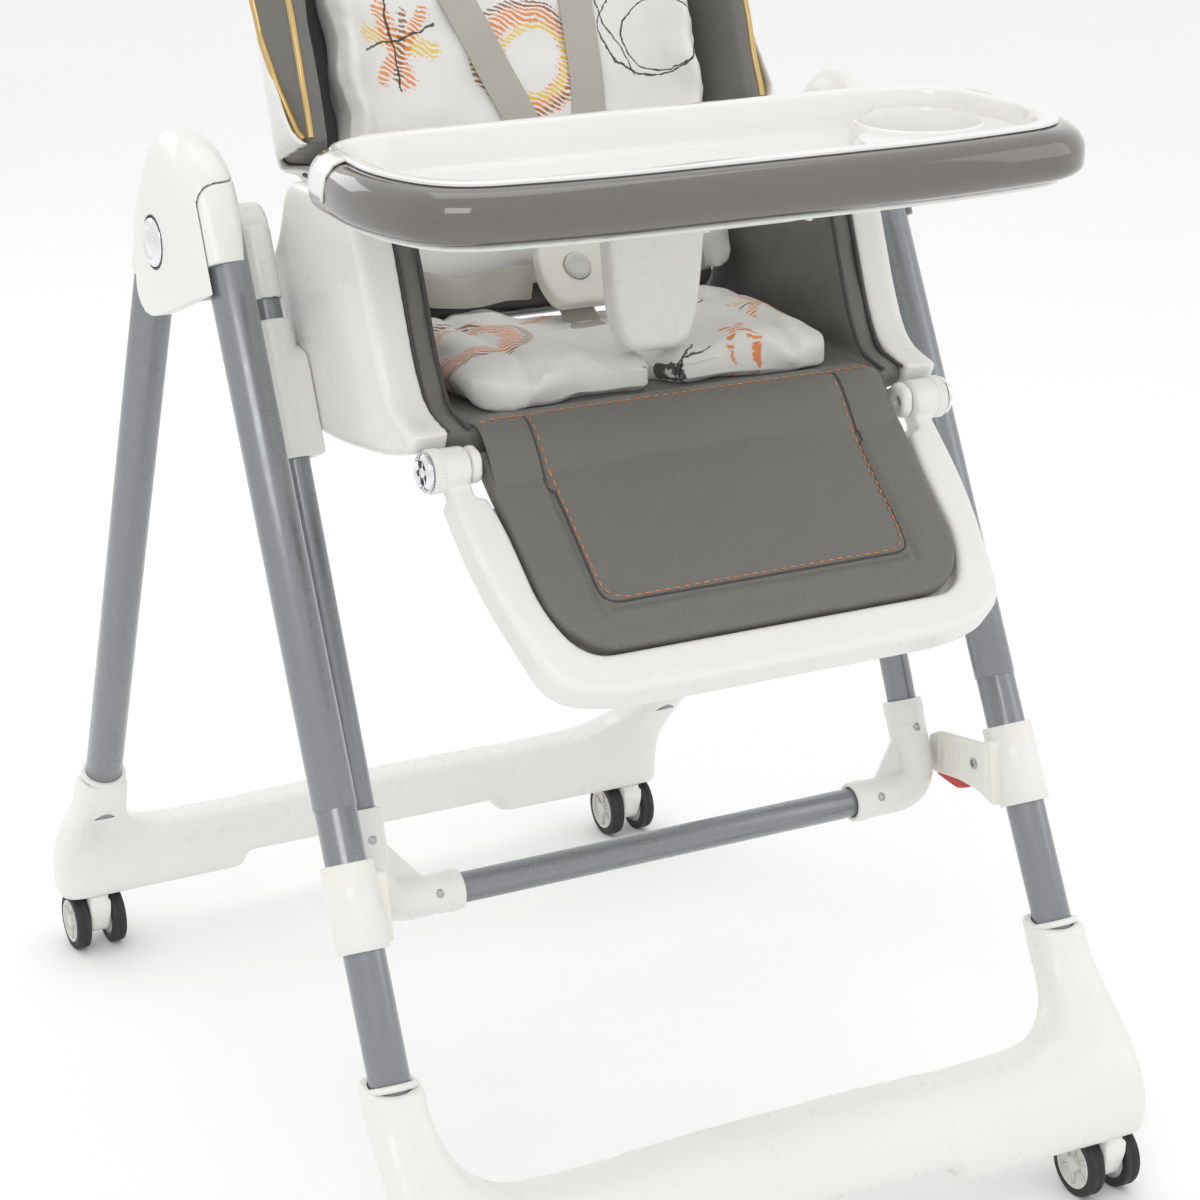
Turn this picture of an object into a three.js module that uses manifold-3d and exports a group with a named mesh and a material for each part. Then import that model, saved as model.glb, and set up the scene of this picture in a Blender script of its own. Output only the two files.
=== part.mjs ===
// Folding baby high chair on four twin-wheel casters, in millimetres.
// X is to the right as seen from the front, the chair faces -Y, Z is up and the floor is Z = 0.
// "left" and "right" are as seen from the front: left is -X.

import * as THREE from 'three';
import { mergeVertices } from 'three/addons/utils/BufferGeometryUtils.js';
import Module from 'manifold-3d';

const wasm = await Module();
wasm.setup();

// ---- driving dimensions ----

const GAP = 0.3;                       // running and joint clearance between neighbouring pieces
const BORE_GAP = 0.3;                  // radial clearance of a tube in its socket
const SIDES = { left: -1, right: 1 };

// Every point below is on the right-hand side; the left-hand side is its mirror image.
const FOLD_AXIS = { y: 30, z: 690 };
const LEG_RADIUS = 15;
const LOWER_LEG_RADIUS = 14;
const FRONT_LEG = { foot: [268, -296, 179], top: [263, -42, 686] };
const REAR_LEG = { foot: [267, 298, 187], top: [263, 118, 626] };
const LEG_SPLIT = 0.335;               // joint of the two front tubes, as a share of foot to top
const COLLAR = { from: 0.165, to: 0.27, radius: 18.5 };

const GUIDE = { x: 224, radius: 11, top: [10, 690], tilt: THREE.MathUtils.degToRad(23.3), length: 474 };
const ELBOW_RADIUS = 14.5;

const HUB = { inner: 243, plate: 279.6, outer: 290 };
const BASE = { bottom: 52, front: -373.5, rear: 373.5 };
const CASTER = { x: 260.5, frontStem: -386, rearStem: 358, trail: 14, wheelRadius: 25, wheelWidth: 12 };
const CASTER_SPACING = 31.6;           // from one wheel's mid plane to the other's

const SEAT = { halfWidth: 205, coverHalf: 177.7, innerHalf: 160, floor: 582, top: 597 };
const RECLINE_AXIS = { y: 50, z: 625 };
const RECLINE_REST = THREE.MathUtils.degToRad(20);
const BACK = {
  halfWidth: 197, lowHalf: 156, bottom: -25, height: 450, wingFrom: 100, panel: -16, rim: -60, wing: -94,
};

const FOOTREST_AXIS = { y: -222, z: 577 };
const FOOTREST_REST = THREE.MathUtils.degToRad(40);
const FOOTREST = {
  length: 181, halfWidth: 187, inner: 160, depth: 28, padHalf: 157.5, barrelFrom: 171.4, barrelTo: 198,
};

const TRAY = { bottom: 743.3, rimBottom: 748.3, rimTop: 782, liner: 785.5, back: -125, front: -352 };

// ---- materials ----

function material(color, roughness, metalness = 0) {
  return new THREE.MeshStandardMaterial({ color, roughness, metalness });
}

const WHITE = material(0xf1f1ec, 0.35);
const TUBE_GREY = material(0x8b8d91, 0.35, 0.4);
const LEATHERETTE = material(0x6c6b66, 0.6);
const LINER = material(0xf4f3f0, 0.9);
const WEBBING = material(0xbcbbb2, 0.85);
const BUCKLE_GREY = material(0xa9a99f, 0.45);
const TRAY_GREY = material(0x817d77, 0.2);
const CHROME = material(0xd8dadd, 0.12, 1);
const RED = material(0xc22a2c, 0.4);
const RUBBER = material(0x191a1b, 0.7);

// ---- solids and booleans ----

function solid(geometry) {
  const bare = geometry.clone();
  bare.deleteAttribute('normal');
  bare.deleteAttribute('uv');
  const merged = mergeVertices(bare, 1e-3);
  return new wasm.Manifold(new wasm.Mesh({
    numProp: 3,
    vertProperties: new Float32Array(merged.attributes.position.array),
    triVerts: new Uint32Array(merged.index.array),
  }));
}

function geometryOf(body) {
  const mesh = body.getMesh();
  const geometry = new THREE.BufferGeometry();
  geometry.setAttribute('position', new THREE.BufferAttribute(new Float32Array(mesh.vertProperties), 3));
  geometry.setIndex(new THREE.BufferAttribute(new Uint32Array(mesh.triVerts), 1));
  geometry.computeVertexNormals();
  return geometry;
}

const join = (...pieces) => geometryOf(pieces.map(solid).reduce((sum, piece) => sum.add(piece)));
const common = (...pieces) => geometryOf(pieces.map(solid).reduce((sum, piece) => sum.intersect(piece)));

function cut(piece, ...tools) {
  return geometryOf(tools.map(solid).reduce((rest, tool) => rest.subtract(tool), solid(piece)));
}

// The same shape on the other side of X = 0, still with its faces pointing out.
function mirrored(geometry) {
  const copy = geometryOf(solid(geometry));
  copy.scale(-1, 1, 1);
  const index = copy.index.array;
  for (let i = 0; i < index.length; i += 3) {
    [index[i], index[i + 1]] = [index[i + 1], index[i]];
  }
  copy.computeVertexNormals();
  return copy;
}

// ---- shape helpers ----

const lerp = (a, b, share) => a.map((value, i) => value + (b[i] - value) * share);

// A closed outline from [u, v, radius] corners; a radius rounds its corner, to half the shorter edge at most.
function outline(corners) {
  const shape = new THREE.Shape();
  const points = corners.map(([u, v]) => new THREE.Vector2(u, v));
  const toward = (from, to, distance) => to.clone().sub(from).setLength(distance).add(from);
  points.forEach((here, i) => {
    const before = points.at(i - 1);
    const after = points[(i + 1) % points.length];
    const room = 0.48 * Math.min(here.distanceTo(before), here.distanceTo(after));
    const radius = Math.min(corners[i][2] ?? 0, room);
    const start = toward(here, before, radius);
    const end = toward(here, after, radius);
    if (i === 0) shape.moveTo(start.x, start.y);
    else shape.lineTo(start.x, start.y);
    if (radius > 0) shape.quadraticCurveTo(here.x, here.y, end.x, end.y);
  });
  return shape;
}

// A right-half list of corners, from the bottom middle to the top middle, closed by its mirror image.
function symmetric(corners) {
  const left = corners.map(([u, v, radius]) => [-u, v, radius]).reverse();
  return outline([...corners, ...left]);
}

function extruded(shape, depth, round, curveSegments = 4, roundSegments = 2) {
  return new THREE.ExtrudeGeometry(shape, {
    depth: depth - 2 * round,
    curveSegments,
    bevelEnabled: round > 0,
    bevelThickness: round,
    bevelSize: round,
    bevelOffset: -round,
    bevelSegments: roundSegments,
  }).translate(0, 0, round);
}

const basis = (x, y, z) => new THREE.Matrix4().makeBasis(
  new THREE.Vector3(...x), new THREE.Vector3(...y), new THREE.Vector3(...z));
const SIDE_VIEW = basis([0, 1, 0], [0, 0, 1], [1, 0, 0]);     // outline in Y and Z, depth along +X
const FRONT_VIEW = basis([1, 0, 0], [0, 0, 1], [0, -1, 0]);   // outline in X and Z, depth along -Y

function sideExtrusion(shape, fromX, toX, round = 0, ...detail) {
  return extruded(shape, toX - fromX, round, ...detail).applyMatrix4(SIDE_VIEW).translate(fromX, 0, 0);
}

function frontExtrusion(shape, fromY, toY, round = 0, ...detail) {
  return extruded(shape, toY - fromY, round, ...detail).applyMatrix4(FRONT_VIEW).translate(0, toY, 0);
}

function plate(shape, fromZ, toZ, round = 0, ...detail) {
  return extruded(shape, toZ - fromZ, round, ...detail).translate(0, 0, fromZ);
}

function box(low, high) {
  const size = high.map((value, i) => value - low[i]);
  return new THREE.BoxGeometry(...size).translate(...lerp(low, high, 0.5));
}

// Turns geometry made along +Y, with its middle at the origin, onto the line from start to end.
function along(geometry, start, end) {
  const from = new THREE.Vector3(...start);
  const axis = new THREE.Vector3(...end).sub(from);
  const turn = new THREE.Quaternion().setFromUnitVectors(new THREE.Vector3(0, 1, 0), axis.clone().normalize());
  const middle = from.addScaledVector(axis, 0.5);
  return geometry.applyQuaternion(turn).translate(middle.x, middle.y, middle.z);
}

function distance(start, end) {
  return new THREE.Vector3(...start).distanceTo(new THREE.Vector3(...end));
}

function rod(start, end, radius, sides = 18) {
  return along(new THREE.CylinderGeometry(radius, radius, distance(start, end), sides), start, end);
}

// A round piece turned about the X axis: [x, radius] pairs from one end of the axis to the other.
function turnedOnX(profile, y, z, sides = 20) {
  const points = profile.map(([x, radius]) => new THREE.Vector2(radius, x));
  return new THREE.LatheGeometry(points, sides).rotateZ(-Math.PI / 2).translate(0, y, z);
}

// A closed skin through equal rings of points, flat at both ends.
function loft(rings) {
  const count = rings[0].length;
  const positions = rings.flat(2);
  const middle = (ring) => ring.reduce((sum, p) => sum.map((value, i) => value + p[i] / count), [0, 0, 0]);
  positions.push(...middle(rings[0]), ...middle(rings.at(-1)));
  const first = rings.length * count;
  const index = [];
  for (let k = 0; k < count; k += 1) {
    const next = (k + 1) % count;
    for (let ring = 0; ring + 1 < rings.length; ring += 1) {
      const a = ring * count + k;
      const b = ring * count + next;
      index.push(a, b, b + count, a, b + count, a + count);
    }
    const last = (rings.length - 1) * count;
    index.push(first, next, k, first + 1, last + k, last + next);
  }
  const geometry = new THREE.BufferGeometry();
  geometry.setAttribute('position', new THREE.Float32BufferAttribute(positions, 3));
  geometry.setIndex(index);
  return geometry;
}

// A ring of points between a circle (squareness 1) and a rectangle (squareness 0).
function superRing(count, squareness, place) {
  return Array.from({ length: count }, (_, k) => {
    const angle = (k / count) * 2 * Math.PI;
    const stretch = (value) => Math.sign(value) * Math.abs(value) ** squareness;
    return place(stretch(Math.cos(angle)), stretch(Math.sin(angle)));
  });
}

// ---- assembly ----

const chair = new THREE.Group();

function add(name, geometry, surface, parent = chair) {
  const mesh = new THREE.Mesh(geometryOf(solid(geometry)), surface);
  mesh.name = name;
  parent.add(mesh);
}

// Adds a right-hand piece and its mirror image.
function addPair(name, geometry, surface, parent = chair) {
  add(`${name}_right`, geometry, surface, parent);
  add(`${name}_left`, mirrored(geometry), surface, parent);
}

// ---- legs ----

const frontLegPoint = (share) => lerp(FRONT_LEG.foot, FRONT_LEG.top, share);
const rearLegPoint = (share) => lerp(REAR_LEG.foot, REAR_LEG.top, share);
const LEG_IN_BASE = -0.08;
const LEG_IN_HUB = 1.06;
const REAR_LEG_IN_HUB = 1.14;

function hollowTube(start, end, outer, inner) {
  const half = distance(start, end) / 2;
  const profile = [[inner, -half], [outer, -half], [outer, half], [inner, half], [inner, -half]];
  return along(new THREE.LatheGeometry(profile.map(([r, y]) => new THREE.Vector2(r, y)), 20), start, end);
}

function addLegs() {
  const overlap = 0.1;
  const spigot = LOWER_LEG_RADIUS - 0.5;
  addPair('front_leg_upper', hollowTube(
    frontLegPoint(LEG_SPLIT), frontLegPoint(LEG_IN_HUB), LEG_RADIUS, spigot + BORE_GAP), TUBE_GREY);
  addPair('front_leg_lower', join(
    rod(frontLegPoint(LEG_IN_BASE), frontLegPoint(LEG_SPLIT - 0.001), LOWER_LEG_RADIUS + 0.4),
    rod(frontLegPoint(LEG_SPLIT - 0.05), frontLegPoint(LEG_SPLIT + overlap), spigot)), TUBE_GREY);
  addPair('rear_leg', rod(rearLegPoint(LEG_IN_BASE), rearLegPoint(REAR_LEG_IN_HUB), LEG_RADIUS), TUBE_GREY);
}

// ---- moulded base bars ----

// The bar's outer and inner edge, station by station from the sleeve mouth to the middle of the bar,
// as [outer x, outer z, inner x, inner z, half depth].
const SLEEVE_TOP = 183;
const BASE_STATIONS = [
  [288, SLEEVE_TOP, 248, SLEEVE_TOP, 20],
  [288.6, 163, 247.5, 165, 20.5],
  [289.4, 132, 244, 147, 22],
  [290.2, 98, 235, 132, 24],
  [291, 64, 221, 122, 25.5],
  [284, 46, 206, 117.5, 26],
  [246, 45, 190, 116, 26],
  [205, 45, 168, 115.5, 25],
  [134, 46, 132, 115.5, 24],
  [118, 61, 112, 116, 24],
  [60, 61, 60, 117, 24],
];
const RING_POINTS = 18;

function baseRing([outerX, outerZ, innerX, innerZ, halfDepth], sign, depthAt) {
  return superRing(RING_POINTS, 0.62, (across, deep) => {
    const x = (outerX + innerX) / 2 + (across * (outerX - innerX)) / 2;
    const z = (outerZ + innerZ) / 2 + (across * (outerZ - innerZ)) / 2;
    return [sign * x, depthAt(z) + deep * halfDepth, z];
  });
}

// leg: foot and top of the tube in this base; barY: the middle of the bar.
function baseBar(leg, barY, stemY) {
  const slope = (leg.top[1] - leg.foot[1]) / (leg.top[2] - leg.foot[2]);
  const depthAt = (z) => {
    const onLeg = leg.foot[1] + slope * (z - leg.foot[2]);
    return THREE.MathUtils.lerp(barY, onLeg, THREE.MathUtils.smoothstep(z, 70, 168));
  };
  const left = BASE_STATIONS.map((station) => baseRing(station, -1, depthAt));
  const right = BASE_STATIONS.map((station) => baseRing(station, 1, depthAt)).reverse();
  const skin = loft([...left, ...right]);
  const tools = [box([-400, barY - 100, 0], [400, barY + 100, BASE.bottom])];
  for (const side of Object.values(SIDES)) {
    const mirror = ([x, y, z]) => [side * x, y, z];
    const bore = [lerp(leg.foot, leg.top, LEG_IN_BASE - 0.005), lerp(leg.foot, leg.top, 0.1)].map(mirror);
    tools.push(rod(...bore, LEG_RADIUS + BORE_GAP));
    tools.push(rod([side * CASTER.x, stemY, 0], [side * CASTER.x, stemY, 78], 5 + BORE_GAP, 16));
  }
  return cut(skin, ...tools);
}

// ---- hubs ----

// Level rings of the hub's thumb shape, as [z, front y, rear y, half width].
const HUB_RINGS = [
  [615, -90, 104, 23.5], [650, -76, 104, 23.5], [690, -58, 102, 23.5], [718, -45, 83, 23.5], [736, -35, 70, 22.5],
  [750, -23, 61, 19.5], [760, -9, 50, 15], [766, 5, 41, 9.5], [769, 18, 31, 4],
];

function hubForm() {
  const middleX = (HUB.inner + HUB.outer) / 2;
  return loft(HUB_RINGS.map(([z, front, rear, halfX]) => (
    superRing(20, 0.68, (across, deep) => (
      [middleX + across * halfX, (front + rear) / 2 + (deep * (rear - front)) / 2, z]))
  )));
}

function legBore(point, from, to) {
  return rod(point(from), point(to), LEG_RADIUS + BORE_GAP);
}

function addHubs() {
  const { inner, plate: plateX, outer } = HUB;
  const core = 36;
  const archTop = 739;
  const cupBack = -6;
  const arch = (spare) => frontExtrusion(
    outline([[inner - 5, 600], [plateX + spare, 600], [plateX + spare, archTop + spare, 17],
      [inner - 5, archTop + spare, 17]]), -130, cupBack + spare, 0, 6);
  const bridge = (spare) => box(
    [inner - spare * 10, cupBack - 8, 655], [plateX + spare, FOLD_AXIS.y, 716 + spare]);
  const disc = (spare) => turnedOnX(
    [[inner - spare * 10, 0], [inner - spare * 10, core + 3 * spare], [plateX + spare, core + 3 * spare],
      [plateX + spare, 0]],
    FOLD_AXIS.y, FOLD_AXIS.z);
  const below = sideExtrusion(outline(
    [[-130, 560], [102, 560], [96, 628], [72, FOLD_AXIS.z], [-130, FOLD_AXIS.z]]), inner - 10, plateX + GAP);
  const buttonHole = turnedOnX([[plateX - 1, 0], [plateX - 1, 18.4], [outer + 9, 18.4], [outer + 9, 0]],
    FOLD_AXIS.y, FOLD_AXIS.z);
  const hubFloor = sideExtrusion(outline(
    [[-140, 560], [180, 560], [180, 700], [106, 664], [84, 640], [52, 632], [20, 640], [-140, 700]]),
  inner - 20, outer + 20);
  const socket = rod(rearLegPoint(1.06), rearLegPoint(1.15), 17.5);
  const capEnds = [rearLegPoint(1.149), rearLegPoint(1.2)];
  const socketCap = along(new THREE.CylinderGeometry(9, 17.5, distance(...capEnds), 18), ...capEnds);
  addPair('hub_housing', cut(join(cut(hubForm(), hubFloor), socket, socketCap),
    arch(GAP), bridge(GAP), disc(GAP), below, buttonHole,
    legBore(rearLegPoint, 0.9, REAR_LEG_IN_HUB + 0.003)), WHITE);

  const socketFloor = sideExtrusion(outline([[-140, 560], [40, 560], [0, 663], [-80, 702]]),
    inner - 20, outer + 20);
  const cup = cut(common(hubForm(), arch(0)), socketFloor);
  addPair('hub_front_cup', cut(join(cup, bridge(0), disc(0)), legBore(frontLegPoint, 0.9, 1.065)), WHITE);

  const button = turnedOnX([[plateX + 2.5, 0], [plateX + 2.5, 18], [outer + 1.5, 18], [outer + 3, 16.6],
    [outer + 3.6, 12], [outer + 3.8, 0]], 0, 0, 32);
  addPair('fold_button', button.translate(0, FOLD_AXIS.y, FOLD_AXIS.z), CHROME);
}

// ---- height guide frame, fixed between the front legs ----

// Its group has its origin on the hub end of the guide tubes and Z up along them.
const guideFrame = new THREE.Group();
guideFrame.position.set(0, ...GUIDE.top);
guideFrame.rotation.x = -GUIDE.tilt;
chair.add(guideFrame);

function addGuideFrame() {
  const { x, radius, length } = GUIDE;
  const tubeGap = radius + BORE_GAP;
  addPair('guide_tube', rod([x, 0, -length + 6], [x, 0, -12], radius), TUBE_GREY, guideFrame);

  const elbowTop = -length + 68;
  const bend = 24;
  const corner = new THREE.CurvePath();
  corner.add(new THREE.LineCurve3(new THREE.Vector3(x, 0, elbowTop), new THREE.Vector3(x, 0, -length + bend)));
  corner.add(new THREE.QuadraticBezierCurve3(new THREE.Vector3(x, 0, -length + bend),
    new THREE.Vector3(x, 0, -length), new THREE.Vector3(x - bend, 0, -length)));
  corner.add(new THREE.LineCurve3(new THREE.Vector3(x - bend, 0, -length),
    new THREE.Vector3(x - 62, 0, -length)));
  const section = new THREE.Shape().absarc(0, 0, ELBOW_RADIUS, 0, 2 * Math.PI);
  const elbow = new THREE.ExtrudeGeometry(section, {
    extrudePath: corner, steps: 10, curveSegments: 7, bevelEnabled: false });
  const web = frontExtrusion(outline(
    [[x - 48, -length], [x, -length], [x, -length + 52], [x - 10, -length + 46]]), -2, 2);
  addPair('elbow', cut(join(elbow, web), rod([x, 0, -length + 5], [x, 0, elbowTop + 5], tubeGap),
    rod([x - 70, 0, -length], [x - 24, 0, -length], tubeGap)), WHITE, guideFrame);
  add('cross_tube', rod([-x + 26, 0, -length], [x - 26, 0, -length], radius), TUBE_GREY, guideFrame);
}

function addGuideBrackets() {
  const up = new THREE.Vector3(0, Math.sin(GUIDE.tilt), Math.cos(GUIDE.tilt));
  const onGuide = (reach) => [GUIDE.x, GUIDE.top[0] + reach * up.y, GUIDE.top[1] + reach * up.z];
  const boss = turnedOnX([[GUIDE.x - 13.5, 0], [GUIDE.x - 13.5, 19], [GUIDE.x - 11.5, 21],
    [HUB.inner - GAP, 21], [HUB.inner - GAP, 0]], FOLD_AXIS.y, FOLD_AXIS.z);
  const sleeve = rod(onGuide(6), onGuide(-45), 13.2);
  const bore = rod(onGuide(-11), onGuide(-60), GUIDE.radius + BORE_GAP);
  addPair('guide_bracket', cut(join(boss, sleeve), bore), WHITE);
}

// ---- collars on the front legs, their lock arms and the red lock levers ----

function addLocks() {
  const ring = rod(frontLegPoint(COLLAR.from), frontLegPoint(COLLAR.to), COLLAR.radius);
  const bore = rod(
    frontLegPoint(COLLAR.from - 0.05), frontLegPoint(COLLAR.to + 0.05), LOWER_LEG_RADIUS + 0.4 + BORE_GAP);
  const stub = sideExtrusion(
    outline([[-250, 262, 4], [-222, 268, 10], [-218, 300, 10], [-240, 312, 6]]), 242.5, 262, 1);
  const arm = sideExtrusion(outline([[-240, 268, 8], [-206, 268, 6], [-168, 262, 5], [-163, 290, 4],
    [-176, 297, 4], [-238, 308, 8]]), 241, 245.5, 1);
  addPair('collar', cut(join(ring, stub, arm), bore), WHITE);

  const lever = sideExtrusion(outline(
    [[-210, 262, 3], [-196, 256, 5], [-168, 258, 3], [-166, 274, 4], [-210, 272, 4]]), 246.2, 251, 1, 3, 1);
  addPair('lock_lever', lever, RED);
}

// ---- casters ----

function addCaster(end, side, stemY) {
  const swivel = new THREE.Group();
  swivel.position.set(SIDES[side] * CASTER.x, stemY, BASE.bottom);
  chair.add(swivel);
  const axleZ = CASTER.wheelRadius - BASE.bottom;
  const { trail, wheelRadius, wheelWidth } = CASTER;
  const inner = (CASTER_SPACING - wheelWidth) / 2;
  const half = inner - GAP * 2;
  const stem = rod([0, 0, -6], [0, 0, 22], 5, 16);
  const collar = rod([0, 0, -4], [0, 0, -GAP], 9, 20);
  const body = sideExtrusion(outline([[-9, -4, 3], [-9, -14, 4], [trail - 16, axleZ - 8, 8],
    [trail + 4, axleZ - 14, 10], [trail + 18, axleZ, 10], [trail + 16, -9, 6], [10, -4, 4]]),
  -half, half, 1.5, 3, 1);
  const axleBore = turnedOnX([[-30, 0], [-30, 3.4], [30, 3.4], [30, 0]], trail, axleZ, 14);
  const name = `${end}_${side}`;
  add(`caster_body_${name}`, cut(join(stem, collar, body), axleBore), WHITE, swivel);

  const outer = inner + wheelWidth;
  const tread = 1.5;
  const profile = [[-outer - 1, 0], [-outer - 1, 16], [-outer, 18], [-outer, wheelRadius - tread],
    [-outer + tread, wheelRadius], [-inner - tread, wheelRadius], [-inner, wheelRadius - tread], [-inner, 3]];
  const other = profile.map(([x, r]) => [-x, r]).reverse();
  add(`caster_wheels_${name}`, turnedOnX([...profile, ...other], trail, axleZ, 20), RUBBER, swivel);
}

// ---- seat ----

const SEAT_SIDE = [
  [-118, 733, 16], [-132, 704, 20], [-158, 638, 30], [-176, 607, 20], [-213, 599], [-207, 585], [-166, 573, 30],
  [-90, 562, 40], [60, 560, 40], [104, 590, 30], [84, 636, 30], [18, 676, 40], [-4, 733, 20],
];

const seatGroup = new THREE.Group();
chair.add(seatGroup);

function addSeatShell() {
  const { halfWidth, coverHalf, floor } = SEAT;
  const body = sideExtrusion(outline(SEAT_SIDE), -halfWidth, halfWidth, 6, 5, 2);
  const cavity = sideExtrusion(outline([[-260, floor], [170, floor], [170, 800], [-260, 800]]),
    -coverHalf - GAP, coverHalf + GAP);
  const noseGap = sideExtrusion(outline([[-280, 540], [-196, 540], [-196, floor + 1], [-280, floor + 1]]),
    -163, 163);
  const { y, z } = FOOTREST_AXIS;
  const lugProfile = [[y - 11, z - 11, 9], [y + 14, z - 12, 8], [y + 60, z - 4, 4], [y + 60, z + 4.4],
    [y + 15, z + 4.4], [y + 4, z + 14, 4], [y - 11, z + 11, 9]];
  const lug = sideExtrusion(outline(lugProfile), 162.6, FOOTREST.barrelFrom - GAP, 0, 5);
  const bore = turnedOnX([[150, 0], [150, 4 + BORE_GAP], [230, 4 + BORE_GAP], [230, 0]], y, z, 14);
  const shell = join(cut(body, cavity, noseGap), lug, mirrored(lug));
  add('seat_shell', cut(shell, bore, mirrored(bore)), WHITE, seatGroup);
}

function addSeatSoftParts() {
  const { coverHalf, innerHalf, floor, top } = SEAT;
  const profile = [[-114, 726, 8], [-130, 700, 16], [-154, 640, 30], [-174, 604, 10], [-207, 597, 6],
    [-203, floor + GAP], [40, floor + GAP], [52, 600], [10, 668, 20], [-12, 726, 8]];
  const hollow = sideExtrusion(outline([[-300, top], [90, top], [90, 800], [-300, 800]]),
    -innerHalf, innerHalf);
  const lip = sideExtrusion(outline([[-207, 597], [-207, 575, 3], [-198, 572, 3], [-196.4, 597]]),
    -162.4, 162.4);
  const padding = join(sideExtrusion(outline(profile), -coverHalf, coverHalf), lip);
  add('seat_cover', cut(padding, hollow), LEATHERETTE, seatGroup);

  const loaf = outline([[-146, top + GAP, 8], [146, top + GAP, 8], [150, 624, 12], [64, 626, 16], [42, 615, 16],
    [-42, 615, 16], [-64, 626, 16], [-150, 624, 12]]);
  add('seat_cushion', frontExtrusion(loaf, -190, -12), LINER, seatGroup);
}

// Slide sleeves of the seat on the guide tubes, drawn in the guide frame's own axes.
function addSliders() {
  const rails = new THREE.Group();
  rails.position.copy(guideFrame.position);
  rails.rotation.copy(guideFrame.rotation);
  seatGroup.add(rails);
  const from = -158;
  const to = -60;
  const wall = 16.5;
  const sleeve = rod([GUIDE.x, 0, from], [GUIDE.x, 0, to], wall);
  const shoe = sideExtrusion(outline([[-wall, from, 4], [wall, from, 4], [wall, to - 10, 10],
    [-wall, to - 26, 10]]), SEAT.halfWidth + GAP, GUIDE.x);
  const bore = rod([GUIDE.x, 0, from - 5], [GUIDE.x, 0, to + 5], GUIDE.radius + BORE_GAP);
  addPair('slider', cut(join(sleeve, shoe), bore), WHITE, rails);
  const lever = frontExtrusion(outline([[GUIDE.x - 11, from + 30, 3], [GUIDE.x + 11, from + 30, 3],
    [GUIDE.x + 11, from + 62, 6], [GUIDE.x - 11, from + 62, 6]]), wall + GAP, wall + 9, 2, 3, 1);
  addPair('height_button', lever, BUCKLE_GREY, rails);
}

function addHarness() {
  const buckle = new THREE.Group();
  buckle.position.set(0, -46, 652);
  buckle.rotation.x = THREE.MathUtils.degToRad(-38);
  seatGroup.add(buckle);
  const body = frontExtrusion(symmetric([[22, -26, 10], [30, -4, 12], [26, 24, 12]]), -7, 7, 2.5, 5, 2);
  const well = new THREE.CylinderGeometry(10.5, 10.5, 13, 16).translate(0, -7.5, 2);
  add('buckle', cut(body, well), BUCKLE_GREY, buckle);
  add('buckle_button', new THREE.CylinderGeometry(10, 10, 5.5, 16).translate(0, -6.25, 2), BUCKLE_GREY, buckle);

  const between = sideExtrusion(outline(
    [[-84, 615.5], [-60, 615.5], [-43, 628], [-46, 631], [-62, 619], [-84, 618.5]]), -14, 14);
  add('crotch_strap', between, WEBBING, seatGroup);
  const waist = plate(outline([[31, -40], [118, -22], [118, -19], [31, -37]]), 634, 660);
  addPair('waist_strap', waist, WEBBING, seatGroup);
}

// ---- backrest, in its own axes: Z up along it and Y towards its back ----

const backGroup = new THREE.Group();
backGroup.position.set(0, RECLINE_AXIS.y, RECLINE_AXIS.z);
backGroup.rotation.x = -RECLINE_REST;
seatGroup.add(backGroup);

function backOutline(inset) {
  const wide = BACK.halfWidth - inset;
  const low = BACK.lowHalf - inset;
  return symmetric([[low, BACK.bottom + inset, 14], [low, BACK.wingFrom - 4 + inset, 6],
    [wide, BACK.wingFrom + inset, 18], [wide, 320, 60], [166 - inset, BACK.height - inset, 80]]);
}

// Side view of everything behind the seam between the hard shell and the padded wings.
function behindSeam(spare) {
  const { bottom, height, wingFrom, rim, wing } = BACK;
  return sideExtrusion(outline([[wing - spare, bottom - 20], [wing - spare, wingFrom + 6],
    [-76 - spare, 150, 20], [rim - spare, 190, 20], [rim - spare, 380, 20], [-40 - spare, height + 30],
    [60, height + 30], [60, bottom - 20]]), -230, 230);
}

// Level section of the whole backrest, widest near its front and curving in behind.
function backSection(inset) {
  const wide = BACK.halfWidth - inset;
  return plate(symmetric([[wide, -130], [wide, -60, 14], [170 - inset, 8 - inset, 44]]),
    BACK.bottom - 30, BACK.height + 30, 0, 6);
}

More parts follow.
